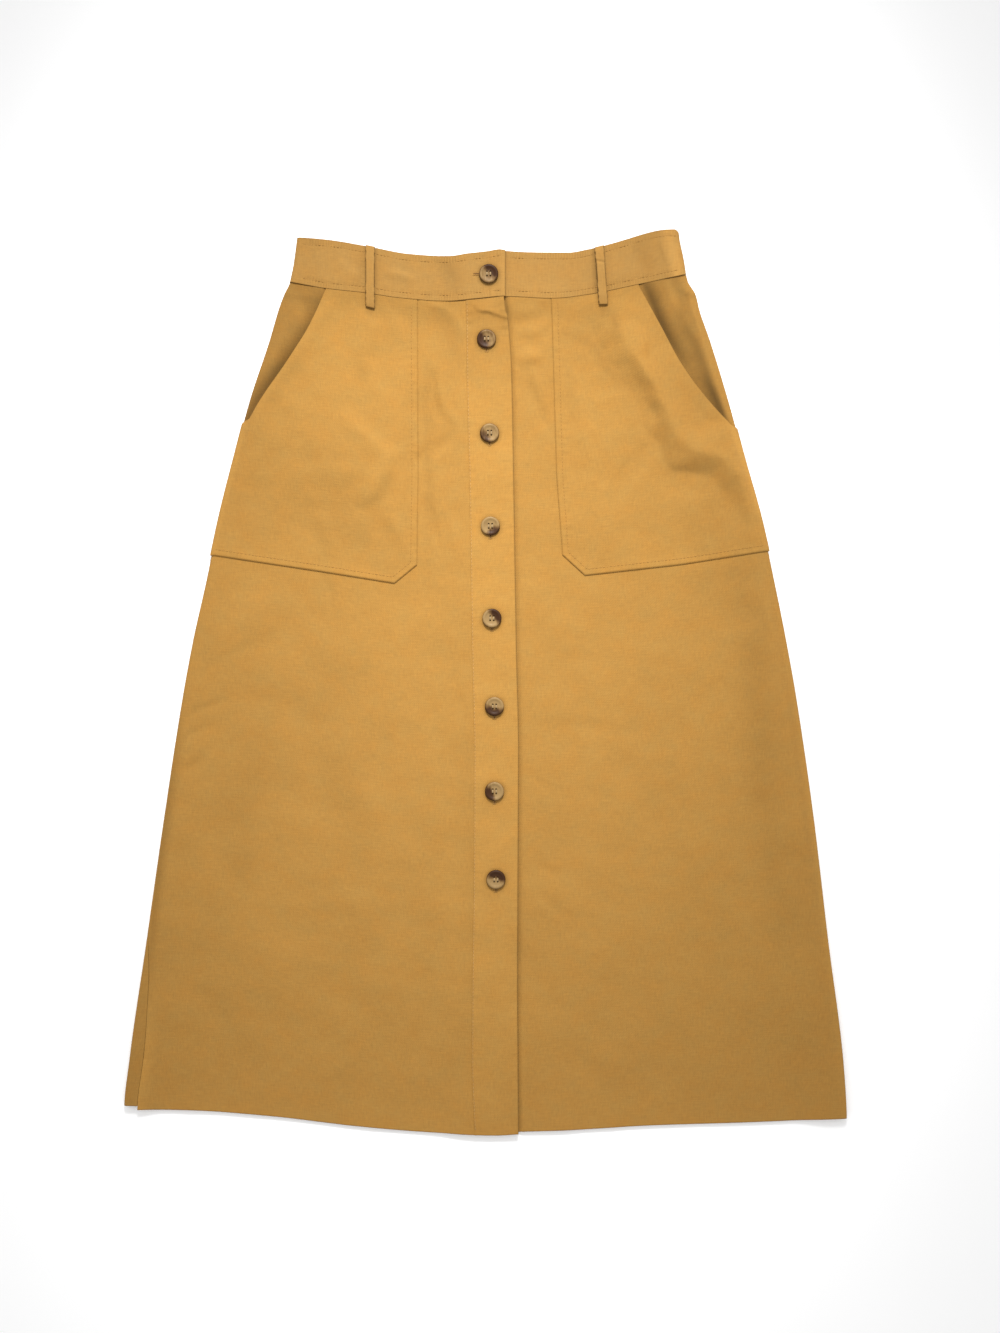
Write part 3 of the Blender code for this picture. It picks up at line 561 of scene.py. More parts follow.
def folds(table, x, y, wander=0.0):
    """The height that a table's creases give at each place."""
    x, y = np.broadcast_arrays(x, y)
    height = np.zeros(x.shape)
    if wander:
        x, y = (at + wander * waves(x, y, seed, WANDER_LENGTHS)
                for at, seed in zip((x, y), WANDER_SEEDS))
    for _, crest_height, first, second, crest, foot, points in table:
        line = smooth_line(points)
        near = close_to(x, y, line, max(first, second))
        if not near.any():
            continue
        distance, place = near_line(x[near], y[near], line)
        reach = np.where(distance > 0, first, second)
        soft = (np.hypot(distance, crest) - crest) / (np.hypot(reach, crest) - crest)
        ends = np.sin(np.pi * np.clip(place / lengths(line)[-1], 0, 1)) ** CREASE_ENDS
        height[near] += crest_height * ends * (1 - np.clip(soft, 0, 1)) ** foot
    return height


def unevenness(x, y):
    """The slight unevenness of cloth that has been washed and pressed."""
    return UNEVEN_HEIGHT * waves(x, y, UNEVEN_SEED, UNEVEN_LENGTHS)


def settle(relief, lowest=LOWEST_RELIEF):
    """Keeps a relief above its lowest level, with a soft turn."""
    return lowest + SETTLE_SOFTNESS * np.logaddexp(0, (relief - lowest) / SETTLE_SOFTNESS)


class Tube:
    """A flattened tube of cloth, and the places on its outer face.

    A place is a side, `around` (the distance along the cloth from that side's
    outermost line, minus over the front and plus over the back) and `down`,
    from 0 at the upper edge to 1 at the lower edge.
    """

    def __init__(self, upper, lower, sides, roll, foot, rest, relief):
        self.upper, self.lower = upper, lower
        self.length = upper(0) - lower(0)
        self.sides = {LEFT: Curve(sides, 1), RIGHT: Curve(sides, 2)}
        self.roll = roll
        self.quarter = roll * math.pi / 2
        self.foot, self.rest, self.relief = foot, rest, relief
        self.corners = {
            side: (self.corner(side, upper), self.corner(side, lower)) for side in (LEFT, RIGHT)
        }

    def corner(self, side, level):
        """The Y where a side meets the upper or the lower edge."""
        y = level(0)
        for _ in range(CORNER_ROUNDS):
            y = level(self.sides[side](y))
        return y

    def rows(self, count, *steps, shorter=0.0):
        """A column of places down the tube, from 0 to a piece's lower edge."""
        return stepped(self.length - shorter, count, *steps)[:, None] / self.length

    def centre_y(self, down):
        return mix(self.upper(0), self.lower(0), down)

    def edge(self, side, down):
        """How far out the outermost line lies."""
        return np.abs(self.sides[side](mix(*self.corners[side], down)))

    def half_width(self, side, down):
        """The cloth's width from the outermost line to the middle."""
        return self.edge(side, down) - self.roll + self.quarter

    def around(self, side, x, down):
        """The place on the front that is seen at X from above."""
        inside = self.edge(side, down) - side * x
        turned = self.roll * np.arccos(np.clip(1 - inside / self.roll, -1, 1))
        return -np.where(inside < self.roll, turned, inside - self.roll + self.quarter)

    def find(self, side, x, y):
        """The place on the front that is seen at X and Y from above."""
        down = np.zeros(np.broadcast(x, y).shape)
        for _ in range(FIND_ROUNDS):
            share = x / self.edge(side, down)
            upper = self.upper(share * self.edge(side, 0))
            lower = self.lower(share * self.edge(side, 1))
            down = (upper - y) / (upper - lower)
        return self.around(side, x, down), down

    def inside(self, side, x, y):
        """How far a place on the front lies from the outermost line."""
        return self.edge(side, self.find(side, x, y)[1]) - side * x

    def top(self, side, x, y, lift):
        """The height of a surface that lies `lift` over the front."""
        around, down = self.find(side, x, y)
        return self.point(side, around, down, lift)[:, 2]

    def plan(self, side, around, down):
        """X and Y of a place."""
        edge = self.edge(side, down)
        turned = edge - self.roll * (1 - np.cos(around / self.roll))
        flat = edge - self.roll - (np.abs(around) - self.quarter)
        reach = np.where(np.abs(around) < self.quarter, turned, flat)
        share = side * reach / edge
        upper = self.upper(share * self.edge(side, 0))
        lower = self.lower(share * self.edge(side, 1))
        return side * reach, mix(upper, lower, down)

    def height(self, side, x, y, down):
        """The height of the front's outer face."""
        inside = self.edge(side, down) - side * x - self.roll
        rest = mix(2 * self.roll, self.rest(x, y), ease(inside / self.foot[side]))
        return rest + self.relief(x, y) * ease(inside / SIDE_FADE)

    def point(self, side, around, down, lift):
        """The place `lift` outside the cloth's outer face."""
        x, y = self.plan(side, around, down)
        turn = around / self.roll
        rolled = np.abs(around) < self.quarter
        front = self.height(side, x, y, down) + lift
        z = np.where(around > 0, -lift, front)
        z = np.where(rolled, self.roll - (self.roll + lift) * np.sin(turn), z)
        x = np.where(rolled, x + side * lift * np.cos(turn), x)
        return together(x, y, z)


waist_seam = Curve(WAIST_SEAM)
placket_seam = Curve(PLACKET, 1)
placket_edge = Curve(PLACKET, 2)
rolled_seam = Curve(ROLLED_SEAM)
hem = Curve(HEM)
band_top = Curve(BAND_TOP)


def body_rest(x, y):
    """How high the front's outer face lies, without puff and creases."""
    start, end = POCKET_SPAN
    out = np.abs(x)
    at_pocket = ease((out - start) / POCKET_SPAN_RUN) * ease((end - out) / POCKET_SPAN_RUN)
    rise = mix(SEAM_RISE, POCKET_SEAM_RISE, at_pocket)
    return 2 * PANEL_WALL + GAP + rise * ease(1 - (waist_seam(x) - y) / WAIST_RISE_RUN)


def body_relief(x, y):
    """What the front rises above its lowest level: a slight puff and the creases."""
    from_waist = waist_seam(x) - y
    puff = PUFF * ease((y - hem(x)) / HEM_PUFF_RUN) * ease(from_waist / PUFF_RUN)
    creases = unevenness(x, y) + folds(BODY_FOLDS, x, y, WANDER)
    return settle(puff + creases * ease(from_waist / WAIST_FADE))


def band_relief(x, y):
    uneven = BAND_UNEVEN * unevenness(x + BAND_UNEVEN_SHIFT, y)
    relief = settle(BAND_PUFF + uneven + folds(BAND_FOLDS, x, y), 0.0)
    return relief * ease((y - waist_seam(x)) / BAND_FADE)


body = Tube(waist_seam, hem, BODY_SIDES, BODY_ROLL, BODY_FOOT, body_rest, body_relief)
band = Tube(band_top, lambda x: waist_seam(x) + BAND_GAP, BAND_SIDES, BAND_ROLL, BAND_FOOT,
            lambda x, y: 2 * BAND_WALL + GAP, band_relief)


def climb(x, y):
    """How far the left front has climbed towards the placket's level."""
    return PLACKET_WALL * ease((x - placket_seam(y) + RAMP) / RAMP)


def mouth_lift(side, x, y):
    """The hollow of a front panel beside its pocket's mouth."""
    free = ease((body.inside(side, x, y) - MOUTH_SIDE) / MOUTH_SIDE_RUN)
    return folds(MOUTH_FOLDS, x, y) * free * ease((waist_seam(x) - y) / MOUTH_FADE)


def pocket_lift(side, x, y):
    """The lift of a pocket's inner face off its panel's level."""
    rise = climb(x, y) if side == LEFT else 0.0
    from_sewn = np.abs(near_line(x, y, sewn_edges(side))[0])
    free = ease((waist_seam(x) - y) / POCKET_FADE) * ease(body.inside(side, x, y) / SIDE_FADE)
    creases = folds(POCKET_FOLDS, x, y, WANDER) * ease(from_sewn / POCKET_EDGE_FADE)
    return GAP + rise + settle((POCKET_PUFF * ease(from_sewn / PUFF_RUN) + creases) * free)


def placket_lift(x, y):
    return GAP + folds(PLACKET_FOLDS, x, y)


def overlap_lift(x):
    """How far the left half of the waistband has climbed over the right half."""
    start = placket_seam(BAND_BUTTON[1]) - RAMP
    return (GAP + BAND_WALL) * ease((x - start) / RAMP)


# ---------------------------------------------------------------- lines of sewing
def offset_line(line, distance):
    """A line moved to its left hand, with mitred corners."""
    line = np.array(line, float)
    along = np.diff(line, axis=0)
    along /= np.linalg.norm(along, axis=1)[:, None]
    normal = np.stack([-along[:, 1], along[:, 0]], -1)
    at_points = np.vstack([normal[:1], normal[:-1] + normal[1:], normal[-1:]])
    at_points /= np.linalg.norm(at_points, axis=1)[:, None]
    ends = np.vstack([normal[:1], normal])
    return line + distance * at_points / (at_points * ends).sum(1)[:, None]


def dense(line, step=SEWING_STEP):
    """A line's points again, at even steps of about this length."""
    line = np.array(line, float)
    whole = lengths(line)[-1]
    return resample(line, np.linspace(0, whole, max(2, round(whole / step) + 1)))


def mouth_line(side):
    """The pocket's mouth from the waist seam to its lower end."""
    points = sorted(POCKETS[side]["mouth"], key=lambda point: -point[1])
    curve = Curve([(y, x) for x, y in points])
    y = np.linspace(points[0][1], points[-1][1], MOUTH_POINTS)
    return np.stack([curve(y), y], -1)


def sewn_edges(side):
    """A pocket's foot, its cut corner and its inner edge up to the waist."""
    shape = POCKETS[side]
    return np.array(shape["foot"] + shape["inner"])


def pocket_stitches(side):
    line = dense(offset_line(sewn_edges(side), -side * STITCH_INSET))
    return line[line[:, 1] < waist_seam(line[:, 0]) - STITCH_END]


DOWN_FRONT = np.arange(-390.0, 331.0, 3.0)[::-1]
ALONG_BAND = np.arange(-158.0, 172.0, 2.0)
PLACKET_SEWING = np.stack([placket_seam(DOWN_FRONT) + PLACKET_STITCH_INSET, DOWN_FRONT], -1)
PLACKET_FREE_EDGE = np.stack([placket_edge(DOWN_FRONT) - FREE_EDGE_INSET, DOWN_FRONT], -1)
BAND_SEWING = (
    np.stack([ALONG_BAND, waist_seam(ALONG_BAND) + STITCH_INSET], -1),
    np.stack([ALONG_BAND, band_top(ALONG_BAND) - STITCH_INSET], -1),
)
# Each row: a line, the depth of its groove, the height of the puckers across it,
# their spacing and how far they reach
POCKET_PULLS = {
    side: ((pocket_stitches(side), 0.0, 0.14, 7.0, 6.5),) for side in (LEFT, RIGHT)
}
PLACKET_PULLS = (
    (PLACKET_SEWING, 0.0, 0.16, 8.5, 9.0),
    (PLACKET_FREE_EDGE, 0.0, 0.14, 7.5, 8.0),
)
BAND_PULLS = tuple((line, 0.06, 0.20, 2.7, 4.8) for line in BAND_SEWING)


def pulls(table, x, y):
    """The grooves that lines of stitches pull, and the puckers across them."""
    height = np.zeros(x.shape)
    for line, groove, pucker, spacing, reach in table:
        near = close_to(x, y, line, reach)
        if not near.any():
            continue
        distance, place = near_line(x[near], y[near], line)
        share = np.clip(np.abs(distance) / GROOVE_REACH, 0, 1)
        wide = np.clip(np.abs(distance) / reach, 0, 1)
        # Neither the puckers' height nor their spacing stays the same along the line
        uneven = 0.55 + 0.45 * drift(place, 19.0, 47.0)
        wave = np.cos(2 * math.pi * place / spacing + 1.6 * np.sin(place / 23.0))
        height[near] += pucker * uneven * wave * (1 - wide ** 2) ** 2
        height[near] -= groove * (1 - share ** 2) ** 2
    return height


# ---------------------------------------------------------------- meshes
def add_object(name, data):
    made = bpy.data.objects.new(name, data)
    bpy.context.collection.objects.link(made)
    return made


def add_values(mesh, key, values):
    """A number or a vector for each point of a mesh."""
    values = np.asarray(values, np.float32)
    kind, field = ("FLOAT", "value") if values.ndim == 1 else ("FLOAT_VECTOR", "vector")
    mesh.attributes.new(key, kind, "POINT").data.foreach_set(field, values.ravel())


def add_mesh(name, points, faces, attributes, material):
    mesh = bpy.data.meshes.new(name)
    mesh.from_pydata((np.asarray(points) * MM).tolist(), [], faces)
    for key, values in attributes.items():
        add_values(mesh, key, values)
    mesh.shade_smooth()
    mesh.materials.append(material)
    return add_object(name, mesh)


def signed_volume(points, quads):
    a, b, c, d = (points[quads[:, i]] for i in range(4))
    return (np.cross(b - a, c - a) * a).sum() + (np.cross(c - a, d - a) * a).sum()


def painted_edge_shade(shape, rims):
    """Painted shade along the top, the bottom, the first and the last column."""
    tone = np.zeros(shape)
    for step, share in enumerate(RIM_SHARES):
        edges = (np.s_[step], np.s_[-1 - step], np.s_[:, step], np.s_[:, -1 - step])
        for edge, rim in zip(edges, rims):
            tone[edge] = np.maximum(tone[edge], rim * share)
    return tone


def add_shell(name, outer, inner, weave, material, tone=0.0, rims=(0.3,) * 4, round_off=0.4):
    """A closed wall between two grids of points, with a rounded rim."""
    row_count, column_count = outer.shape[:2]
    middle = (outer + inner) / 2
    out = np.zeros_like(middle)
    out[0] += middle[0] - middle[1]
    out[-1] += middle[-1] - middle[-2]
    out[:, 0] += middle[:, 0] - middle[:, 1]
    out[:, -1] += middle[:, -1] - middle[:, -2]
    out *= round_off / np.maximum(np.linalg.norm(out, axis=-1, keepdims=True), 1e-9)
    outer, inner = outer - out, inner - out
    count = row_count * column_count
    cell = np.arange(count).reshape(row_count, column_count)
    rim = edges_of(cell)
    over, under, out = (grid.reshape(-1, 3) for grid in (outer, inner, out))
    half = (over[rim] - under[rim]) / 2
    centre = (over[rim] + under[rim]) / 2
    rings = [centre + out[rim] * math.cos(a) + half * math.sin(a) for a in RIM_TURNS]
    points = np.vstack([over, under, *rings])

    quads = np.stack([cell[:-1, :-1], cell[:-1, 1:], cell[1:, 1:], cell[1:, :-1]], -1).reshape(-1, 4)
    faces = [quads, quads[:, ::-1] + count]
    starts = 2 * count + len(rim) * np.arange(len(rings))
    loops = [rim, *(start + np.arange(len(rim)) for start in starts), rim + count]
    for above, below in zip(loops, loops[1:]):
        faces.append(np.stack([np.roll(above, -1), above, below, np.roll(below, -1)], -1))
    faces = np.vstack(faces)
    if signed_volume(points, faces) < 0:
        faces = faces[:, ::-1]

    def everywhere(values):
        values = values.reshape(count, -1)
        values = np.vstack([values, values] + [values[rim]] * len(rings))
        return values[:, 0] if values.shape[1] == 1 else values

    plane = np.pad(weave, ((0, 0), (0, 0), (0, 1))) * MM
    tone = tone + (1 - tone) * painted_edge_shade((row_count, column_count), rims)
    attributes = {"weave": everywhere(plane), "tone": everywhere(tone)}
    return add_mesh(name, points, faces.tolist(), attributes, material)


def stepped(length, count, near=EDGE_STEPS, far=None):
    """Places from 0 to each length, close together at both ends."""
    far = near if far is None else far
    length = np.asarray(length, float)[..., None]
    middle = np.linspace(0, 1, count)[1:-1]
    inside = near[-1] + (length - near[-1] - far[-1]) * middle
    shape = length.shape[:-1] + (1,)
    return np.concatenate([np.tile(near, shape), inside, length - far[::-1]], -1)


def wall(tube, side, around, down, inner_lift, thickness, extra=0.0, face=FRONT):
    """The outer and inner grid of a wall, and the cloth's own plane coordinates."""
    around, down = np.broadcast_arrays(around, down)
    outer = tube.point(side, around, down, inner_lift + thickness + extra)
    inner = tube.point(side, around, down, inner_lift)
    across = side * (tube.half_width(side, down) + face * around)
    return outer, inner, together(across, tube.centre_y(down))


# ---------------------------------------------------------------- materials
def node(tree, kind, inputs=(), **settings):
    made = tree.nodes.new("ShaderNode" + kind)
    for key, value in settings.items():
        setattr(made, key, value)
    for key, value in dict(inputs).items():
        if isinstance(value, bpy.types.NodeSocket):
            tree.links.new(value, made.inputs[key])
        else:
            made.inputs[key].default_value = value
    return made


def new_material(name, roughness, **sockets):
    material = bpy.data.materials.new(name)
    material.use_nodes = True
    shader = material.node_tree.nodes["Principled BSDF"]
    shader.inputs["Roughness"].default_value = roughness
    for key, value in sockets.items():
        shader.inputs[key.replace("_", " ")].default_value = value
    return material, material.node_tree, shader


def scaled(tree, vector, scale):
    return node(tree, "VectorMath", {0: vector, 1: scale}, operation="MULTIPLY").outputs[0]


def noise(tree, vector, scale, detail=2.0, rough=0.5):
    return node(tree, "TexNoise", {"Vector": vector, "Scale": scale, "Detail": detail,
                                   "Roughness": rough}).outputs["Fac"]


def maths(tree, operation, first, second=0.0):
    return node(tree, "Math", {0: first, 1: second}, operation=operation).outputs[0]


def attribute(tree, name, output="Fac"):
    return node(tree, "Attribute", attribute_name=name).outputs[output]


def finish(tree, shader, colour, height, strength, distance):
    """Links a material's colour and its finest relief."""
    tree.links.new(colour, shader.inputs["Base Color"])
    bump = node(tree, "Bump", {"Height": height, "Strength": strength, "Distance": distance})
    tree.links.new(bump.outputs[0], shader.inputs["Normal"])


def total(tree, first, *others):
    for other in others:
        first = maths(tree, "ADD", first, other)
    return first


def ranged(tree, value, low, high):
    """A texture's 0.3 to 0.7 as low to high."""
    return node(tree, "MapRange", {"Value": value, "From Min": 0.3, "From Max": 0.7,
                                   "To Min": low, "To Max": high}).outputs[0]


def toned(tree, value):
    """A brightness, less the painted shade and plus the painted light that the piece's tone holds."""
    return maths(tree, "MULTIPLY", value, maths(tree, "SUBTRACT", 1.0, attribute(tree, "tone")))


def cloth_material(name, orange, olive):
    """A cotton twill: slubby yarns, a fine slanted wale and a soft uneven dye.

    The scales are repeats to the metre, across and along the yarns.
    """
    material, tree, shader = new_material(name, 0.88, Specular_IOR_Level=0.16)
    weave = attribute(tree, "weave", "Vector")
    warp = noise(tree, scaled(tree, weave, (1500, 110, 1)), 1.0)
    weft = noise(tree, scaled(tree, weave, (90, 1300, 1)), 1.0)
    slub = noise(tree, scaled(tree, weave, (420, 260, 1)), 1.0, 3.0, 0.6)
    cloud = noise(tree, weave, 14.0, 4.0, 0.6)
    tint = noise(tree, weave, 60.0, 3.0, 0.6)
    wale = node(tree, "TexWave", {"Vector": scaled(tree, weave, (1, 1.35, 1)), "Scale": 330.0,
                                  "Distortion": 1.4, "Detail": 1.0, "Detail Scale": 2.0},
                bands_direction="DIAGONAL").outputs["Fac"]
    value = total(tree, ranged(tree, warp, 0.925, 1.025), ranged(tree, weft, -0.05, 0.05),
                  ranged(tree, slub, -0.045, 0.045), ranged(tree, cloud, -0.03, 0.03),
                  maths(tree, "MULTIPLY", wale, 0.05))
    value = toned(tree, value)
    dye = node(tree, "Mix", {"Factor": ranged(tree, tint, 0.0, 1.0), "A": (*orange, 1.0),
                             "B": (*olive, 1.0)}, data_type="RGBA").outputs["Result"]
    base = node(tree, "VectorMath", {0: dye, "Scale": value}, operation="SCALE").outputs[0]
    height = total(tree, maths(tree, "MULTIPLY", wale, 0.5), warp, weft,
                   maths(tree, "MULTIPLY", slub, 0.8))
    finish(tree, shader, base, height, 0.45, 0.00025)
    tree.links.new(ranged(tree, slub, 0.82, 0.94), shader.inputs["Roughness"])
    return material


def thread_material(name, colour):
    """Spun thread with its twist, with painted shade where it goes into the cloth."""
    material, tree, shader = new_material(name, 0.7, Specular_IOR_Level=0.25)
    place = node(tree, "TexCoord").outputs["Object"]
    dye = toned(tree, ranged(tree, noise(tree, place, 300.0), 0.88, 1.1))
    base = node(tree, "VectorMath", {0: colour, "Scale": dye}, operation="SCALE").outputs[0]
    finish(tree, shader, base, noise(tree, place, 2600.0), 0.5, 0.0002)
    return material


def horn_material(name, pale, middle, dark):
    """Imitation horn, streaked, with dark patches where `dark` says."""
    material, tree, shader = new_material(name, 0.48, Specular_IOR_Level=0.14)
    place = node(tree, "TexCoord").outputs["Object"]
    streak = noise(tree, scaled(tree, place, (620, 160, 300)), 1.0, 4.0, 0.65)
    cloud = noise(tree, place, 190.0, 3.0, 0.6)
    share = total(tree, attribute(tree, "dark"), ranged(tree, streak, -0.14, 0.14),
                  ranged(tree, cloud, -0.12, 0.12))
    ramp = node(tree, "ValToRGB", {"Fac": share})
    stops = ramp.color_ramp.elements
    stops[0].position, stops[0].color = 0.10, (*pale, 1)
    stops[1].position, stops[1].color = 0.85, (*dark, 1)
    stops.new(0.42).color = (*middle, 1)
    finish(tree, shader, ramp.outputs["Color"], streak, 0.15, 0.0002)
    tree.links.new(ranged(tree, streak, 0.42, 0.56), shader.inputs["Roughness"])
    return material


def floor_material():
    material, tree, shader = new_material("pale_floor", 0.9)
    place = node(tree, "TexCoord").outputs["Object"]
    shade = ranged(tree, noise(tree, place, 2.0, 3.0), 0.97, 0.99)
    colour = node(tree, "CombineColor", {"Red": shade, "Green": shade, "Blue": shade})
    tree.links.new(colour.outputs[0], shader.inputs["Base Color"])
    return material


TWILL = cloth_material("mustard_twill", (0.330, 0.162, 0.0333), (0.315, 0.167, 0.0383))
BAND_TWILL = cloth_material("mustard_band_twill", (0.303, 0.154, 0.0362), (0.291, 0.158, 0.0412))
THREAD = thread_material("mustard_thread", (0.36, 0.182, 0.04))
PALE_THREAD = thread_material("pale_seam_thread", (0.43, 0.245, 0.08))
HOLE_THREAD = thread_material("buttonhole_thread", (0.30, 0.155, 0.036))
# The slits are dark thread in the buttonholes' openings: a painted shadow
SLIT_SHADOW = thread_material("buttonhole_slit_shadow", (0.17, 0.08, 0.024))
BUTTON_THREAD = thread_material("button_thread", (0.30, 0.205, 0.10))
HORN = horn_material("brown_horn", (0.245, 0.153, 0.060), (0.140, 0.076, 0.026),
                     (0.036, 0.0135, 0.004))


# ---------------------------------------------------------------- sewing
CAPSULE = (
    # share of the length, share of the radius, sink in millimetres, painted shade
    (-0.05, 0.45, 0.36, 0.40),
    (0.10, 0.85, 0.10, 0.12),
    (0.5, 1.0, 0.0, 0.0),
    (0.90, 0.85, 0.10, 0.12),
    (1.05, 0.45, 0.36, 0.40),
)
CAPSULE_SIDES = 6


class Sewing:
    """Stitches gathered into one piece."""

    def __init__(self):
        self.starts, self.ends, self.radii = [], [], []

    def add(self, starts, ends, radius=STITCH_RADIUS):
        self.starts.append(np.reshape(starts, (-1, 3)))
        self.ends.append(np.reshape(ends, (-1, 3)))
        self.radii.append(np.full(len(self.starts[-1]), radius))

    def between(self, surface, firsts, lasts, radius=STITCH_RADIUS):
        """Stitches between pairs of places on a surface."""
        firsts, lasts = np.reshape(firsts, (-1, 2)), np.reshape(lasts, (-1, 2))
        self.add(np.column_stack([firsts, surface(*firsts.T)]),
                 np.column_stack([lasts, surface(*lasts.T)]), radius)

    def run(self, surface, line):
        """A row of stitches along a line."""
        starts = np.arange(STITCH_START, lengths(line)[-1] - STITCH_LENGTH, STITCH_PITCH)
        self.between(surface, resample(line, starts), resample(line, starts + STITCH_LENGTH))

    def make(self, name, material, slot):
        starts, ends = np.vstack(self.starts), np.vstack(self.ends)
        radii = np.concatenate(self.radii)[:, None]
        along = ends - starts
        along /= np.linalg.norm(along, axis=1, keepdims=True)
        across = np.cross((0, 0, 1), along)
        across /= np.linalg.norm(across, axis=1, keepdims=True)
        up = np.cross(along, across)
        points, tones = [], []
        for share, size, sink, tone in CAPSULE:
            centre = mix(starts, ends, share) + up * (0.5 * radii - sink)
            for turn in np.arange(CAPSULE_SIDES) * 2 * math.pi / CAPSULE_SIDES:
                ring = across * math.cos(turn) + up * math.sin(turn)
                points.append(centre + radii * size * ring)
                tones.append(np.full(len(starts), tone))
        points, tones = np.stack(points, 1), np.stack(tones, 1)
        step = points.shape[1]
        faces = [tuple(range(CAPSULE_SIDES))[::-1], tuple(range(step - CAPSULE_SIDES, step))]
        for here in range(step - CAPSULE_SIDES):
            after = here + 1 - CAPSULE_SIDES * ((here + 1) % CAPSULE_SIDES == 0)
            faces.append((here, after, after + CAPSULE_SIDES, here + CAPSULE_SIDES))
        faces = [tuple(number * step + corner for corner in face)
                 for number in range(len(points)) for face in faces]
        piece = add_mesh(name, points.reshape(-1, 3), faces, {"tone": tones.ravel()}, material)
        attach(piece, "root")
        return piece


def sew(name, lines, surface, slot="twill", material=THREAD):
    sewing = Sewing()
    for line in lines:
        sewing.run(surface, line)
    return sewing.make(name, material, slot)


def pocket_surface(side):
    def surface(x, y):
        pulled = pulls(POCKET_PULLS[side], x, y)
        return body.top(side, x, y, pocket_lift(side, x, y) + POCKET_WALL + pulled)
    return surface


def placket_surface(x, y):
    pulled = pulls(PLACKET_PULLS, x, y)
    return body.top(RIGHT, x, y, placket_lift(x, y) + PLACKET_WALL + pulled)


def band_surface(side, lift):
    return lambda x, y: band.top(side, x, y, lift(x) + pulls(BAND_PULLS, x, y))


def nothing(*place):
    return 0.0


# ---------------------------------------------------------------- the cloth pieces
def lay(piece, weave):
    """Attaches a cloth piece to the root and hides the frame's part that it stands for."""
    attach(piece, "root")
    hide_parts(piece.name.removeprefix("twill_"))


# Painted shade on the cloth just under the waistband
def waist_shade(x, y):
    return WAIST_SHADE * fade((waist_seam(x) - y) / WAIST_SHADE_RUN)


def mouth_shade(side, x, y):
    """The panel behind a pocket's mouth lies in its shade."""
    outside = near_line(x, y, mouth_line(side))[0] * side
    from_side = body.inside(side, x, y) - MOUTH_SHADE_SIDE
    at_side = ease(from_side / MOUTH_SHADE_SIDE_RUN) if side == RIGHT else 1.0
    shade = np.clip(MOUTH_SHADE * at_side + folds(MOUTH_SHADES, x, y), 0, 1)
    from_pocket = ease((outside + MOUTH_SHADE_EDGE) / MOUTH_SHADE_EDGE)
    return shade * from_pocket * ease((y - MOUTH_SHADE_FOOT) / MOUTH_SHADE_FOOT_RUN)


def button_shadow(x, y):
    """Painted shadow close around and below the buttons."""
    shade = np.zeros(x.shape)
    for centre_x, centre_y in BUTTONS:
        out = np.hypot(x - centre_x, y - centre_y + BUTTON_SHADOW_DROP) - BUTTON_RADIUS
        shade += BUTTON_SHADOW * fade(out / BUTTON_SHADOW_REACH)
    return shade


def join_halves(grids):
    """The left half's columns, then the right half's from the middle outwards."""
    left, right = grids
    return [np.concatenate([a, b[:, -2::-1]], 1) for a, b in zip(left, right)]


def make_back():
    down = body.rows(BACK_ROWS, COARSE_EDGE_STEPS, shorter=BACK_SHORTER)
    y = mix(*body.corners[LEFT], down[:, 0])
    grids = []
    for side in (LEFT, RIGHT):
        seam = SIDE_GAP / 2 - (rolled_seam(y) if side == LEFT else 0 * y)
        flat = body.half_width(side, down[:, 0]) - ROLL_END
        round_side = np.linspace(seam, ROLL_END + 0 * seam, BACK_ROLL_COLUMNS, axis=-1)
        under = ROLL_END + stepped(flat, BACK_COLUMNS, COARSE_EDGE_STEPS)[:, 1:]
        around = np.concatenate([round_side, under], 1)
        grids.append((*wall(body, side, around, down, -PANEL_WALL, PANEL_WALL, face=BACK), around))
    outer, inner, weave, around = join_halves(grids)
    # Painted shade on the back's turned-up strip
    shade = ROLLED_SHADE * fade(around / 2 + 0.5)
    piece = add_shell("twill_back", outer, inner, weave, TWILL, shade, rims=(0.3, 0.3, 0.0, 0.0),
                      round_off=0.08)
    lay(piece, weave)


def make_front(side, name, around, down, lift, shade, rims, round_off):
    """A front panel, with functions for what only this side has of lift and shade."""
    x, y = body.plan(side, around, down)
    inner_lift = lift(x, y) + mouth_lift(side, x, y) - PANEL_WALL
    outer, inner, weave = wall(body, side, around, down, inner_lift, PANEL_WALL)
    # Painted shade and painted light on the panel
    tone = mouth_shade(side, x, y) + folds(BODY_SHADES, x, y) + shade(x, y) + waist_shade(x, y)
    piece = add_shell("twill_" + name, outer, inner, weave, TWILL, tone, rims, round_off)
    lay(piece, weave)


def make_front_left():
    down = body.rows(BODY_ROWS)
    seam = SIDE_GAP / 2 + rolled_seam(mix(*body.corners[LEFT], down[:, 0]))
    end_x = placket_seam(body.centre_y(down[:, 0])) + PLACKET_FLAP
    end = -body.around(LEFT, end_x, down[:, 0])
    around = -(seam[:, None] + stepped(end - seam, LEFT_COLUMNS))
    make_front(LEFT, "front_left", around, down, climb, nothing,
               rims=(0.12, 0.35, 0.0, 0.0), round_off=0.1)


def free_edge_dip(x, y):
    return -FREE_EDGE_DIP * fade(np.abs(x - placket_edge(y)) / FREE_EDGE_DIP_REACH)


# Painted shadow on the right front beside the placket's free edge
def free_edge_shadow(x, y):
    out = x - placket_edge(y)
    near_top = ease((y - FREE_EDGE_TOP) / FREE_EDGE_TOP_RUN)
    close = fade(out / (FREE_EDGE_SHADOW_REACH + FREE_EDGE_TOP_REACH * near_top))
    return FREE_EDGE_SHADOW * close + FREE_EDGE_SOFT_SHADOW * fade(out / FREE_EDGE_SOFT_SHADOW_REACH)


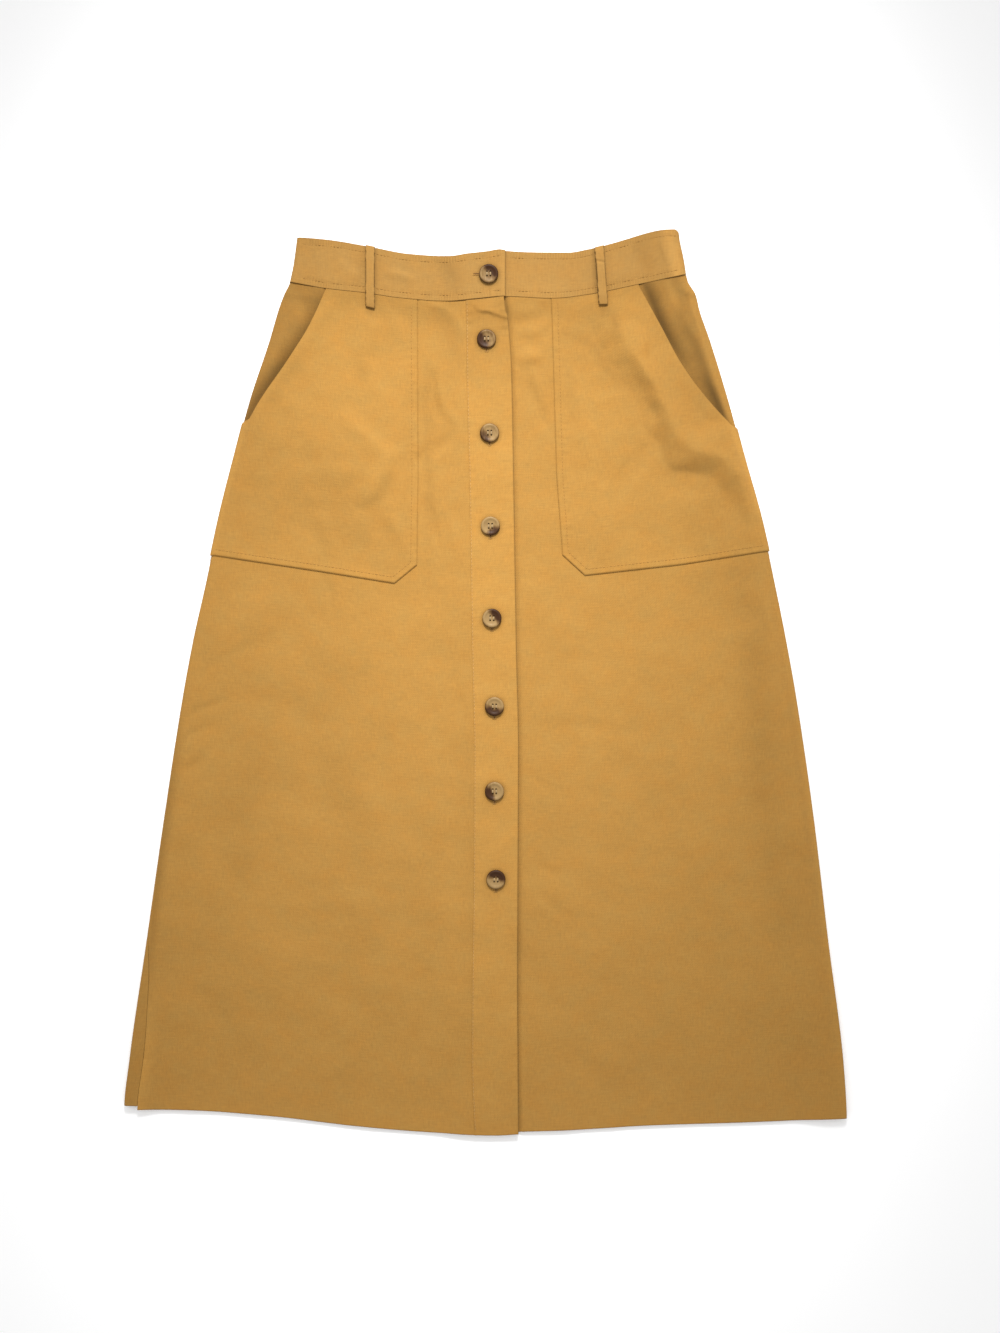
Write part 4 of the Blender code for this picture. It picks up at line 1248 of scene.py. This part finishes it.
def make_front_right():
    down = body.rows(BODY_ROWS, shorter=RIGHT_SHORTER)
    y = body.centre_y(down[:, 0])
    free = -body.around(RIGHT, placket_edge(y), down[:, 0])
    end = -body.around(RIGHT, placket_seam(y) + UNDERLAP_INSET, down[:, 0])
    seen = SIDE_GAP / 2 + stepped(free - SIDE_GAP / 2, RIGHT_COLUMNS)
    hidden = stepped(end - free, UNDERLAP_COLUMNS, EDGE_STEPS, COARSE_EDGE_STEPS)[:, 1:]
    around = -np.concatenate([seen, free[:, None] + hidden], 1)
    make_front(RIGHT, "front_right", around, down, free_edge_dip, free_edge_shadow,
               rims=(0.12, 0.35, 0.05, 0.0), round_off=0.15)


def make_placket():
    down = body.rows(PLACKET_ROWS, PLACKET_TOP_STEPS, EDGE_STEPS)
    y = body.centre_y(down[:, 0])
    start = placket_seam(y)
    end = placket_edge(y) - PLACKET_TOP_INSET * ease((y - PLACKET_TOP_LEVEL) / PLACKET_TOP_RUN)
    xs = start[:, None] + stepped(end - start, PLACKET_COLUMNS)
    around = body.around(RIGHT, xs, down)
    x, y = body.plan(RIGHT, around, down)
    flap = fade((x - placket_seam(y) - PLACKET_FLAP) / PLACKET_FLAP_RUN)
    thickness = mix(PLACKET_WALL, PLACKET_FLAP_WALL, flap)
    lift = placket_lift(x, y) + PLACKET_WALL - thickness
    outer, inner, weave = wall(body, RIGHT, around, down, lift, thickness,
                               pulls(PLACKET_PULLS, x, y))
    # The placket is paler, with painted shade near the waist and painted shadow around the buttons
    top = fade((waist_seam(x) - y - PLACKET_TONE_START) / PLACKET_TONE_RUN)
    tone = mix(PLACKET_TONE, PLACKET_TOP_TONE, top) + button_shadow(x, y)
    piece = add_shell("twill_placket", outer, inner, weave, TWILL, tone,
                      rims=(0.12, 0.35, 0.05, 0.3), round_off=0.2)
    seam = sew("stitches_placket", [PLACKET_SEWING], placket_surface, material=PALE_THREAD)
    lay(piece, weave)


def pocket_boundaries(side):
    """The four edges of a pocket in the cloth's own plane, on matching steps."""
    seam = -GAP / 2

    def to_cloth(line):
        line = dense(line, POCKET_STEP)
        around, down = body.find(side, line[:, 0], line[:, 1])
        return together(around, down * body.length)

    def sample(line, count, near, far):
        return resample(line, stepped(lengths(line)[-1], count, near, far))

    mouth = to_cloth(mouth_line(side))
    mouth[0, 1] = 0.0
    mouth = np.vstack([mouth, [seam, mouth[-1, 1] + MOUTH_END_SLOPE * (seam - mouth[-1, 0])]])
    foot = to_cloth(POCKETS[side]["foot"])
    cut_corner = to_cloth((POCKETS[side]["foot"][-1], POCKETS[side]["inner"][0]))
    inner_edge = to_cloth(POCKETS[side]["inner"])[::-1]
    foot[0, 0] = seam
    inner_edge[0, 1] = 0.0
    side_edge = np.array([mouth[-1], foot[0]])
    outer_edge = np.vstack([sample(mouth, MOUTH_ROWS, EDGE_STEPS, PLAIN_STEPS)[:-1],
                            sample(side_edge, POCKET_SIDE_ROWS, PLAIN_STEPS, EDGE_STEPS)])
    bottom = np.vstack([sample(foot, FOOT_COLUMNS, EDGE_STEPS, PLAIN_STEPS)[:-1],
                        sample(cut_corner, CUT_CORNER_COLUMNS, PLAIN_STEPS, EDGE_STEPS)])
    v = lengths(outer_edge) / lengths(outer_edge)[-1]
    u = lengths(bottom) / lengths(bottom)[-1]
    inner_edge = resample(inner_edge, v * lengths(inner_edge)[-1])
    top = mix(outer_edge[0], inner_edge[0], u[:, None])
    return outer_edge, inner_edge, top, bottom, v[:, None, None], u[None, :, None]


def make_pocket(side, name):
    first, last, top, bottom, v, u = pocket_boundaries(side)
    ruled = mix(first[:, None], last[:, None], u) + mix(top[None], bottom[None], v)
    corners = mix(mix(first[0], last[0], u), mix(first[-1], last[-1], u), v)
    cloth = ruled - corners
    around, down = cloth[..., 0], cloth[..., 1] / body.length
    x, y = body.plan(side, around, down)
    from_edge = np.abs(near_line(x, y, sewn_edges(side))[0])
    fall = POCKET_EDGE_FALL * fade(from_edge / POCKET_EDGE_RUN)
    outer, inner, weave = wall(body, side, around, down, pocket_lift(side, x, y), POCKET_WALL,
                               pulls(POCKET_PULLS[side], x, y) - fall)
    # Painted shade and painted light on the pocket
    shade = folds(POCKET_SHADES, x, y) + waist_shade(x, y)
    piece = add_shell("twill_" + name, outer, inner, weave, TWILL, shade,
                      rims=(0.12, 0.08, 0.12, 0.06), round_off=0.12)
    sewn = sew("stitches_" + name, [pocket_stitches(side)], pocket_surface(side))
    lay(piece, weave)


def band_pucker_shading(x, y):
    """Painted light and shade across the band's edges, in the puckers where each stitch pulls the cloth."""
    inset = np.minimum(y - waist_seam(x), band_top(x) - y)
    near = ease(inset / TICK_START) * ease(TICK_REACH - inset)
    uneven = 0.6 + 0.4 * drift(x, 11, 29)
    return TICK_LIGHT_AND_SHADE * near * uneven * np.cos(2 * math.pi * x / TICK_SPACING + np.sin(x / 7))


def make_band_half(side, name, end_x, lift):
    down = band.rows(BAND_ROWS)
    end = -band.around(side, end_x, down[:, 0])
    around = -(GAP / 2 + stepped(end - GAP / 2, BAND_COLUMNS))
    x, y = band.plan(side, around, down)
    outer, inner, weave = wall(band, side, around, down, lift(x) - BAND_WALL, BAND_WALL,
                               pulls(BAND_PULLS, x, y))
    weave = weave[..., ::-1]
    # Painted shade and painted light on the waistband, with those of its puckers
    shade = folds(BAND_SHADES, x, y) + band_pucker_shading(x, y)
    first, last = x.min() + STITCH_END, x.max() - STITCH_END
    if side == LEFT:
        shade = shade + button_shadow(x, y)
    else:
        free_edge = placket_edge(BAND_BUTTON[1])
        # Painted shadow of the left half's edge on the right half
        shade = shade + BAND_EDGE_SHADE * fade((x - free_edge) / BAND_EDGE_SHADE_REACH)
        first = free_edge + STITCH_END
    piece = add_shell("twill_" + name, outer, inner, weave, BAND_TWILL, shade,
                      rims=(0.2, 0.1, 0.1, 0.3), round_off=0.15)
    lines = [line[(line[:, 0] > first) & (line[:, 0] < last)] for line in BAND_SEWING]
    sewn = sew("stitches_" + name, lines, band_surface(side, lift), "twill_band")
    lay(piece, weave)


def make_band_back():
    down = band.rows(BAND_ROWS)
    grids = []
    for side in (LEFT, RIGHT):
        width = band.half_width(side, down[:, 0]) - GAP / 2
        around = GAP / 2 + stepped(width, BAND_BACK_COLUMNS, EDGE_STEPS, COARSE_EDGE_STEPS)
        grids.append(wall(band, side, around, down, -BAND_WALL, BAND_WALL, face=BACK))
    outer, inner, weave = join_halves(grids)
    weave = weave[..., ::-1]
    for grid in (outer, inner):
        middle = ease((band.edge(LEFT, 0) - np.abs(grid[..., 0])) / band.foot[LEFT])
        grid[..., 1] -= BACK_BAND_LOWER * middle * (1 - down)
    piece = add_shell("twill_waistband_back", outer, inner, weave, BAND_TWILL)
    lay(piece, weave)


def make_loop(name, top_x, top_y, foot_x, foot_y, slant, nick):
    """A folded strip that stands off the waistband, sewn down at both ends."""
    side = LEFT if top_x < 0 else RIGHT
    share = stepped(1.0, LOOP_ROWS, LOOP_END_STEPS)[:, None]
    across = stepped(LOOP_WIDTH, LOOP_COLUMNS, LOOP_EDGE_STEPS)[None] - LOOP_WIDTH / 2
    # The edges stray by a wave that differs from one edge to the other
    waver = np.sin(31 * share + 5 * np.sin(7 * share) + 2.4 * np.sign(across))
    across = across + LOOP_WAVER * waver * (2 * across / LOOP_WIDTH) ** 3
    x, y = mix(top_x, foot_x, share), mix(top_y, foot_y, share)
    foot = pocket_surface(side)(np.array([foot_x]), np.array([foot_y + LOOP_FOOT_TACK]))[0]
    under = ease((waist_seam(x) - y) / LOOP_WIDTH + 0.5)
    arch = LOOP_ARCH * np.sqrt(np.sin(np.pi * np.clip(share, 0, 1)))
    place = share - LOOP_NICK - LOOP_NICK_SLANT * across
    arch = arch - nick * np.exp(-(place / LOOP_NICK_REACH) ** 2)
    z = mix(band.rest(x, y), foot, under) + LOOP_SEAT + arch
    crown = LOOP_WALL + LOOP_CROWN * ease((LOOP_WIDTH / 2 - np.abs(across)) / LOOP_CROWN_RUN)
    rise = band_top(top_x + 1.0) - band_top(top_x)
    tilt = rise * across * ease(1 - share * 4) - slant * across * ease(share * 4 - 3)
    low, high = (together(x + across, y + tilt, top) for top in (z, z + crown))
    weave = together((across + top_x) * (1 + 2 * LOOP_WALL / LOOP_WIDTH), y)
    piece = add_shell("twill_" + name, high, low, weave, BAND_TWILL, rims=(0.1, 0.45, 0.3, 0.4))
    lay(piece, weave)


# ---------------------------------------------------------------- buttons
BUTTON_PROFILE = (
    # share of the radius, height
    (0.55, 0.05), (0.86, 0.10), (0.96, 0.40), (1.00, 0.90), (1.00, 1.40), (0.985, 1.80),
    (0.95, 2.15), (0.90, 2.40), (0.84, 2.55), (0.78, 2.51), (0.72, 2.36), (0.66, 2.14),
    (0.60, 1.94), (0.52, 1.80), (0.40, 1.73), (0.25, 1.70),
)
BUTTON_FACE = 1.69
BUTTON_SEGMENTS = 72
BUTTON_MIDDLE = 0.02        # the face's innermost ring, of the radius
HOLE_RADIUS = 0.85
HOLE_SEGMENTS = 20
HOLE_DEPTHS = (-1.0, 4.0)
HOLE_ACROSS, HOLE_UP = 3.0, 3.5
SHARP_EDGE = math.radians(45)
BUTTON_PATCHES = (
    # turn of the dark side, half its width in degrees, its depth, the rest's darkness
    (45, 75, 1.0, 0.30),
    (205, 75, 1.0, 0.32),
    (215, 55, 0.75, 0.16),
    (300, 55, 0.85, 0.02),
    (35, 70, 1.0, 0.02),
    (255, 80, 0.9, 0.05),
    (205, 60, 0.95, 0.02),
    (70, 85, 1.0, 0.05),
)
PATCH_RUN = 65.0            # degrees over which a patch ends
PATCH_START = -0.05         # where it starts and where it is whole, of the radius
PATCH_FULL = 0.55
DARK_EDGE = 0.35
DARK_EDGE_START = 0.88      # of the radius
SEAT_RING = 0.8             # where the cloth under a button is measured, of the radius
SEAT_POINTS = 16
SEAT_GAP = 0.1              # a button lies at least this far over that cloth
THREADS = (
    # how far aside and how much lower each thread from hole to hole lies
    (-0.3, 0.1), (0.0, 0.0), (0.3, 0.1),
)
THREAD_RISE = 0.3
THREAD_RADIUS = 0.3
THREAD_LENGTH = 0.8 * HOLE_UP

# Worked buttonholes run along the waistband and down the placket
HOLE_START = -7.0           # a slit starts this far from the button's middle
BAND_HOLE_REACH = 13.4      # and ends this far on the other side
PLACKET_HOLE_REACH = 11.0
HOLE_STITCH_PITCH = 0.42
HOLE_STITCH_FROM = 0.3      # its stitches reach from here to there across the slit
HOLE_STITCH_TO = 1.6
BARS = (-0.2, 0.1)          # the bars across the slit's ends lie this far past them
BAR_HALF = 1.7
BAR_RADIUS = 0.3
SLIT_SHADOW_RADIUS = 0.34


def circle(radius, count, z, x=0.0, y=0.0):
    turn = np.arange(count) * 2 * math.pi / count
    return np.stack([x + radius * np.cos(turn), y + radius * np.sin(turn), 0 * turn + z], -1)


def lathe(rings):
    """A closed mesh from rings of points, lowest first."""
    count = len(rings[0])
    around = [(step, (step + 1) % count) for step in range(count)]
    faces = [tuple(range(count))[::-1], tuple(range((len(rings) - 1) * count, len(rings) * count))]
    for start in range(0, (len(rings) - 1) * count, count):
        faces += [(start + a, start + b, start + count + b, start + count + a) for a, b in around]
    return np.vstack(rings), faces


def button_blank():
    """The turned button with its four holes, made once."""
    rings = [circle(share * BUTTON_RADIUS, BUTTON_SEGMENTS, z) for share, z in BUTTON_PROFILE]
    rings.append(circle(BUTTON_MIDDLE * BUTTON_RADIUS, BUTTON_SEGMENTS, BUTTON_FACE))
    blank = add_mesh("button_blank", *lathe(rings), {}, HORN)
    cutters = []
    for x, y in [(a * HOLE_ACROSS / 2, b * HOLE_UP / 2) for a in (-1, 1) for b in (-1, 1)]:
        ends = [circle(HOLE_RADIUS, HOLE_SEGMENTS, z, x, y) for z in HOLE_DEPTHS]
        cutters.append(add_mesh("button_hole", *lathe(ends), {}, HORN))
        hole = blank.modifiers.new("Hole", "BOOLEAN")
        hole.operation, hole.solver, hole.object = "DIFFERENCE", "EXACT", cutters[-1]
    bpy.context.view_layer.update()
    cut = blank.evaluated_get(bpy.context.evaluated_depsgraph_get())
    mesh = bpy.data.meshes.new_from_object(cut)
    for item in [blank, *cutters]:
        bpy.data.objects.remove(item)
    mesh.set_sharp_from_angle(angle=SHARP_EDGE)
    return mesh


def dark_patch(local, turn, half_width, depth, rest):
    """How dark the horn is: a patch on one side, and the outer edge."""
    reach = np.hypot(local[:, 0], local[:, 1]) / BUTTON_RADIUS
    angle = np.degrees(np.arctan2(local[:, 1], local[:, 0]))
    off = np.abs((angle - turn + 180) % 360 - 180)
    patch = (depth - rest) * ease((half_width - off) / PATCH_RUN + 0.5)
    patch = patch * ease((reach - PATCH_START) / (PATCH_FULL - PATCH_START))
    edge = DARK_EDGE * ease((reach - DARK_EDGE_START) / (1 - DARK_EDGE_START))
    return np.clip(rest + patch + edge, 0, 1)


def button_surface(number):
    return band_surface(LEFT, overlap_lift) if number == 1 else placket_surface


def make_buttons():
    blank = button_blank()
    local = np.zeros(len(blank.vertices) * 3)
    blank.vertices.foreach_get("co", local)
    local = local.reshape(-1, 3) / MM
    thread = Sewing()
    for number, ((x, y), patch) in enumerate(zip(BUTTONS, BUTTON_PATCHES), 1):
        ring = circle(SEAT_RING * BUTTON_RADIUS, SEAT_POINTS, 0, x, y)
        under = float(button_surface(number)(ring[:, 0], ring[:, 1]).mean())
        seat = max(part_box(f"button_{number}")[0].z / MM, under + SEAT_GAP)
        mesh = blank.copy()
        add_values(mesh, "dark", dark_patch(local, *patch))
        mesh.vertices.foreach_set("co", ((local + (x, y, seat)) * MM).ravel())
        piece = add_object(f"horn_button_{number}", mesh)
        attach(piece, "root")
        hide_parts(f"button_{number}")
        for across in (-HOLE_ACROSS / 2, HOLE_ACROSS / 2):
            for aside, lower in THREADS:
                end = np.array([x + across + aside, y + THREAD_LENGTH / 2,
                                seat + BUTTON_FACE + THREAD_RISE - lower])
                thread.add(end - (0, THREAD_LENGTH, 0), end, THREAD_RADIUS)
    thread.make("button_thread", BUTTON_THREAD, "horn")


def make_buttonholes():
    """Worked buttonholes: two rows of close stitches, and a dark thread of painted shadow along the slit
    between them.
    """
    edges, slit_shadows = Sewing(), Sewing()
    for number, button in enumerate(BUTTONS, 1):
        surface = button_surface(number)
        reach = BAND_HOLE_REACH if number == 1 else PLACKET_HOLE_REACH
        along = np.array((-1.0, 0.0) if number == 1 else (0.0, -1.0))
        across = np.array((along[1], -along[0]))
        steps = np.arange(HOLE_START, reach, HOLE_STITCH_PITCH)[:, None]
        middle = np.array(button) + steps * along
        for hand in (-1, 1):
            edges.between(surface, middle + hand * HOLE_STITCH_FROM * across,
                          middle + hand * HOLE_STITCH_TO * across)
        for end in (HOLE_START + BARS[0], reach + BARS[1]):
            place, half = np.array(button) + end * along, BAR_HALF * across
            edges.between(surface, place - half, place + half, BAR_RADIUS)
        slit_shadows.between(surface, middle[0], middle[-1], SLIT_SHADOW_RADIUS)
    edges.make("buttonholes", HOLE_THREAD, "twill")
    slit_shadows.make("buttonhole_slit_shadows", SLIT_SHADOW, "twill")


# ---------------------------------------------------------------- stage
FLOOR_SIZE = 8.0            # metres
FLOOR_DROP = 0.0003         # metres under the cloth
VIEW_CENTRE = (13.3, 13.3)
PIXEL = 0.87                # millimetres
VIEW_HEIGHT = 1333 * PIXEL
VIEW_DISTANCE = 1500.0
VIEW_LEVEL = 4.0            # the height that the view's scale is true at
SENSOR = 36.0
# The key light's place, aim and size are in metres
KEY_PLACE = (0.060, 1.360, 1.150)
KEY_AIM = (-0.015, 0.110, 0.0)
KEY_SIZE = 0.5
KEY_SPREAD = 30.7
KEY_POWER = 2.09
FILL = 0.90


def make_stage():
    bpy.ops.mesh.primitive_plane_add(size=FLOOR_SIZE, location=(0, 0, -FLOOR_DROP))
    floor = bpy.context.object
    floor.name = "floor"
    floor.data.materials.append(floor_material())

    scene = bpy.context.scene
    world = bpy.data.worlds.new("studio")
    world.use_nodes = True
    background = world.node_tree.nodes["Background"]
    background.inputs["Color"].default_value = (1.0, 1.0, 1.0, 1.0)
    background.inputs["Strength"].default_value = FILL
    scene.world = world
    scene.view_settings.view_transform = "Standard"

    light = bpy.data.lights.new("key", "AREA")
    light.shape = "DISK"
    light.size = KEY_SIZE
    light.spread = math.radians(KEY_SPREAD)
    light.energy = KEY_POWER
    key = add_object("key", light)
    key.location = KEY_PLACE
    key.rotation_euler = (Vector(KEY_AIM) - key.location).to_track_quat("-Z", "Y").to_euler()

    lens = bpy.data.cameras.new("camera")
    lens.sensor_width = SENSOR
    lens.lens = SENSOR * VIEW_DISTANCE / VIEW_HEIGHT
    camera = add_object("camera", lens)
    camera.location = Vector((*VIEW_CENTRE, VIEW_DISTANCE + VIEW_LEVEL)) * MM
    scene.camera = camera


make_stage()
make_back()
make_front_left()
make_front_right()
make_placket()
make_pocket(LEFT, "pocket_left")
make_pocket(RIGHT, "pocket_right")
make_band_back()
make_band_half(RIGHT, "waistband_right", placket_seam(BAND_BUTTON[1]) + UNDERLAP_INSET, nothing)
make_band_half(LEFT, "waistband_left", placket_edge(BAND_BUTTON[1]), overlap_lift)
for loop in LOOPS:
    make_loop(*loop)
make_buttons()
make_buttonholes()
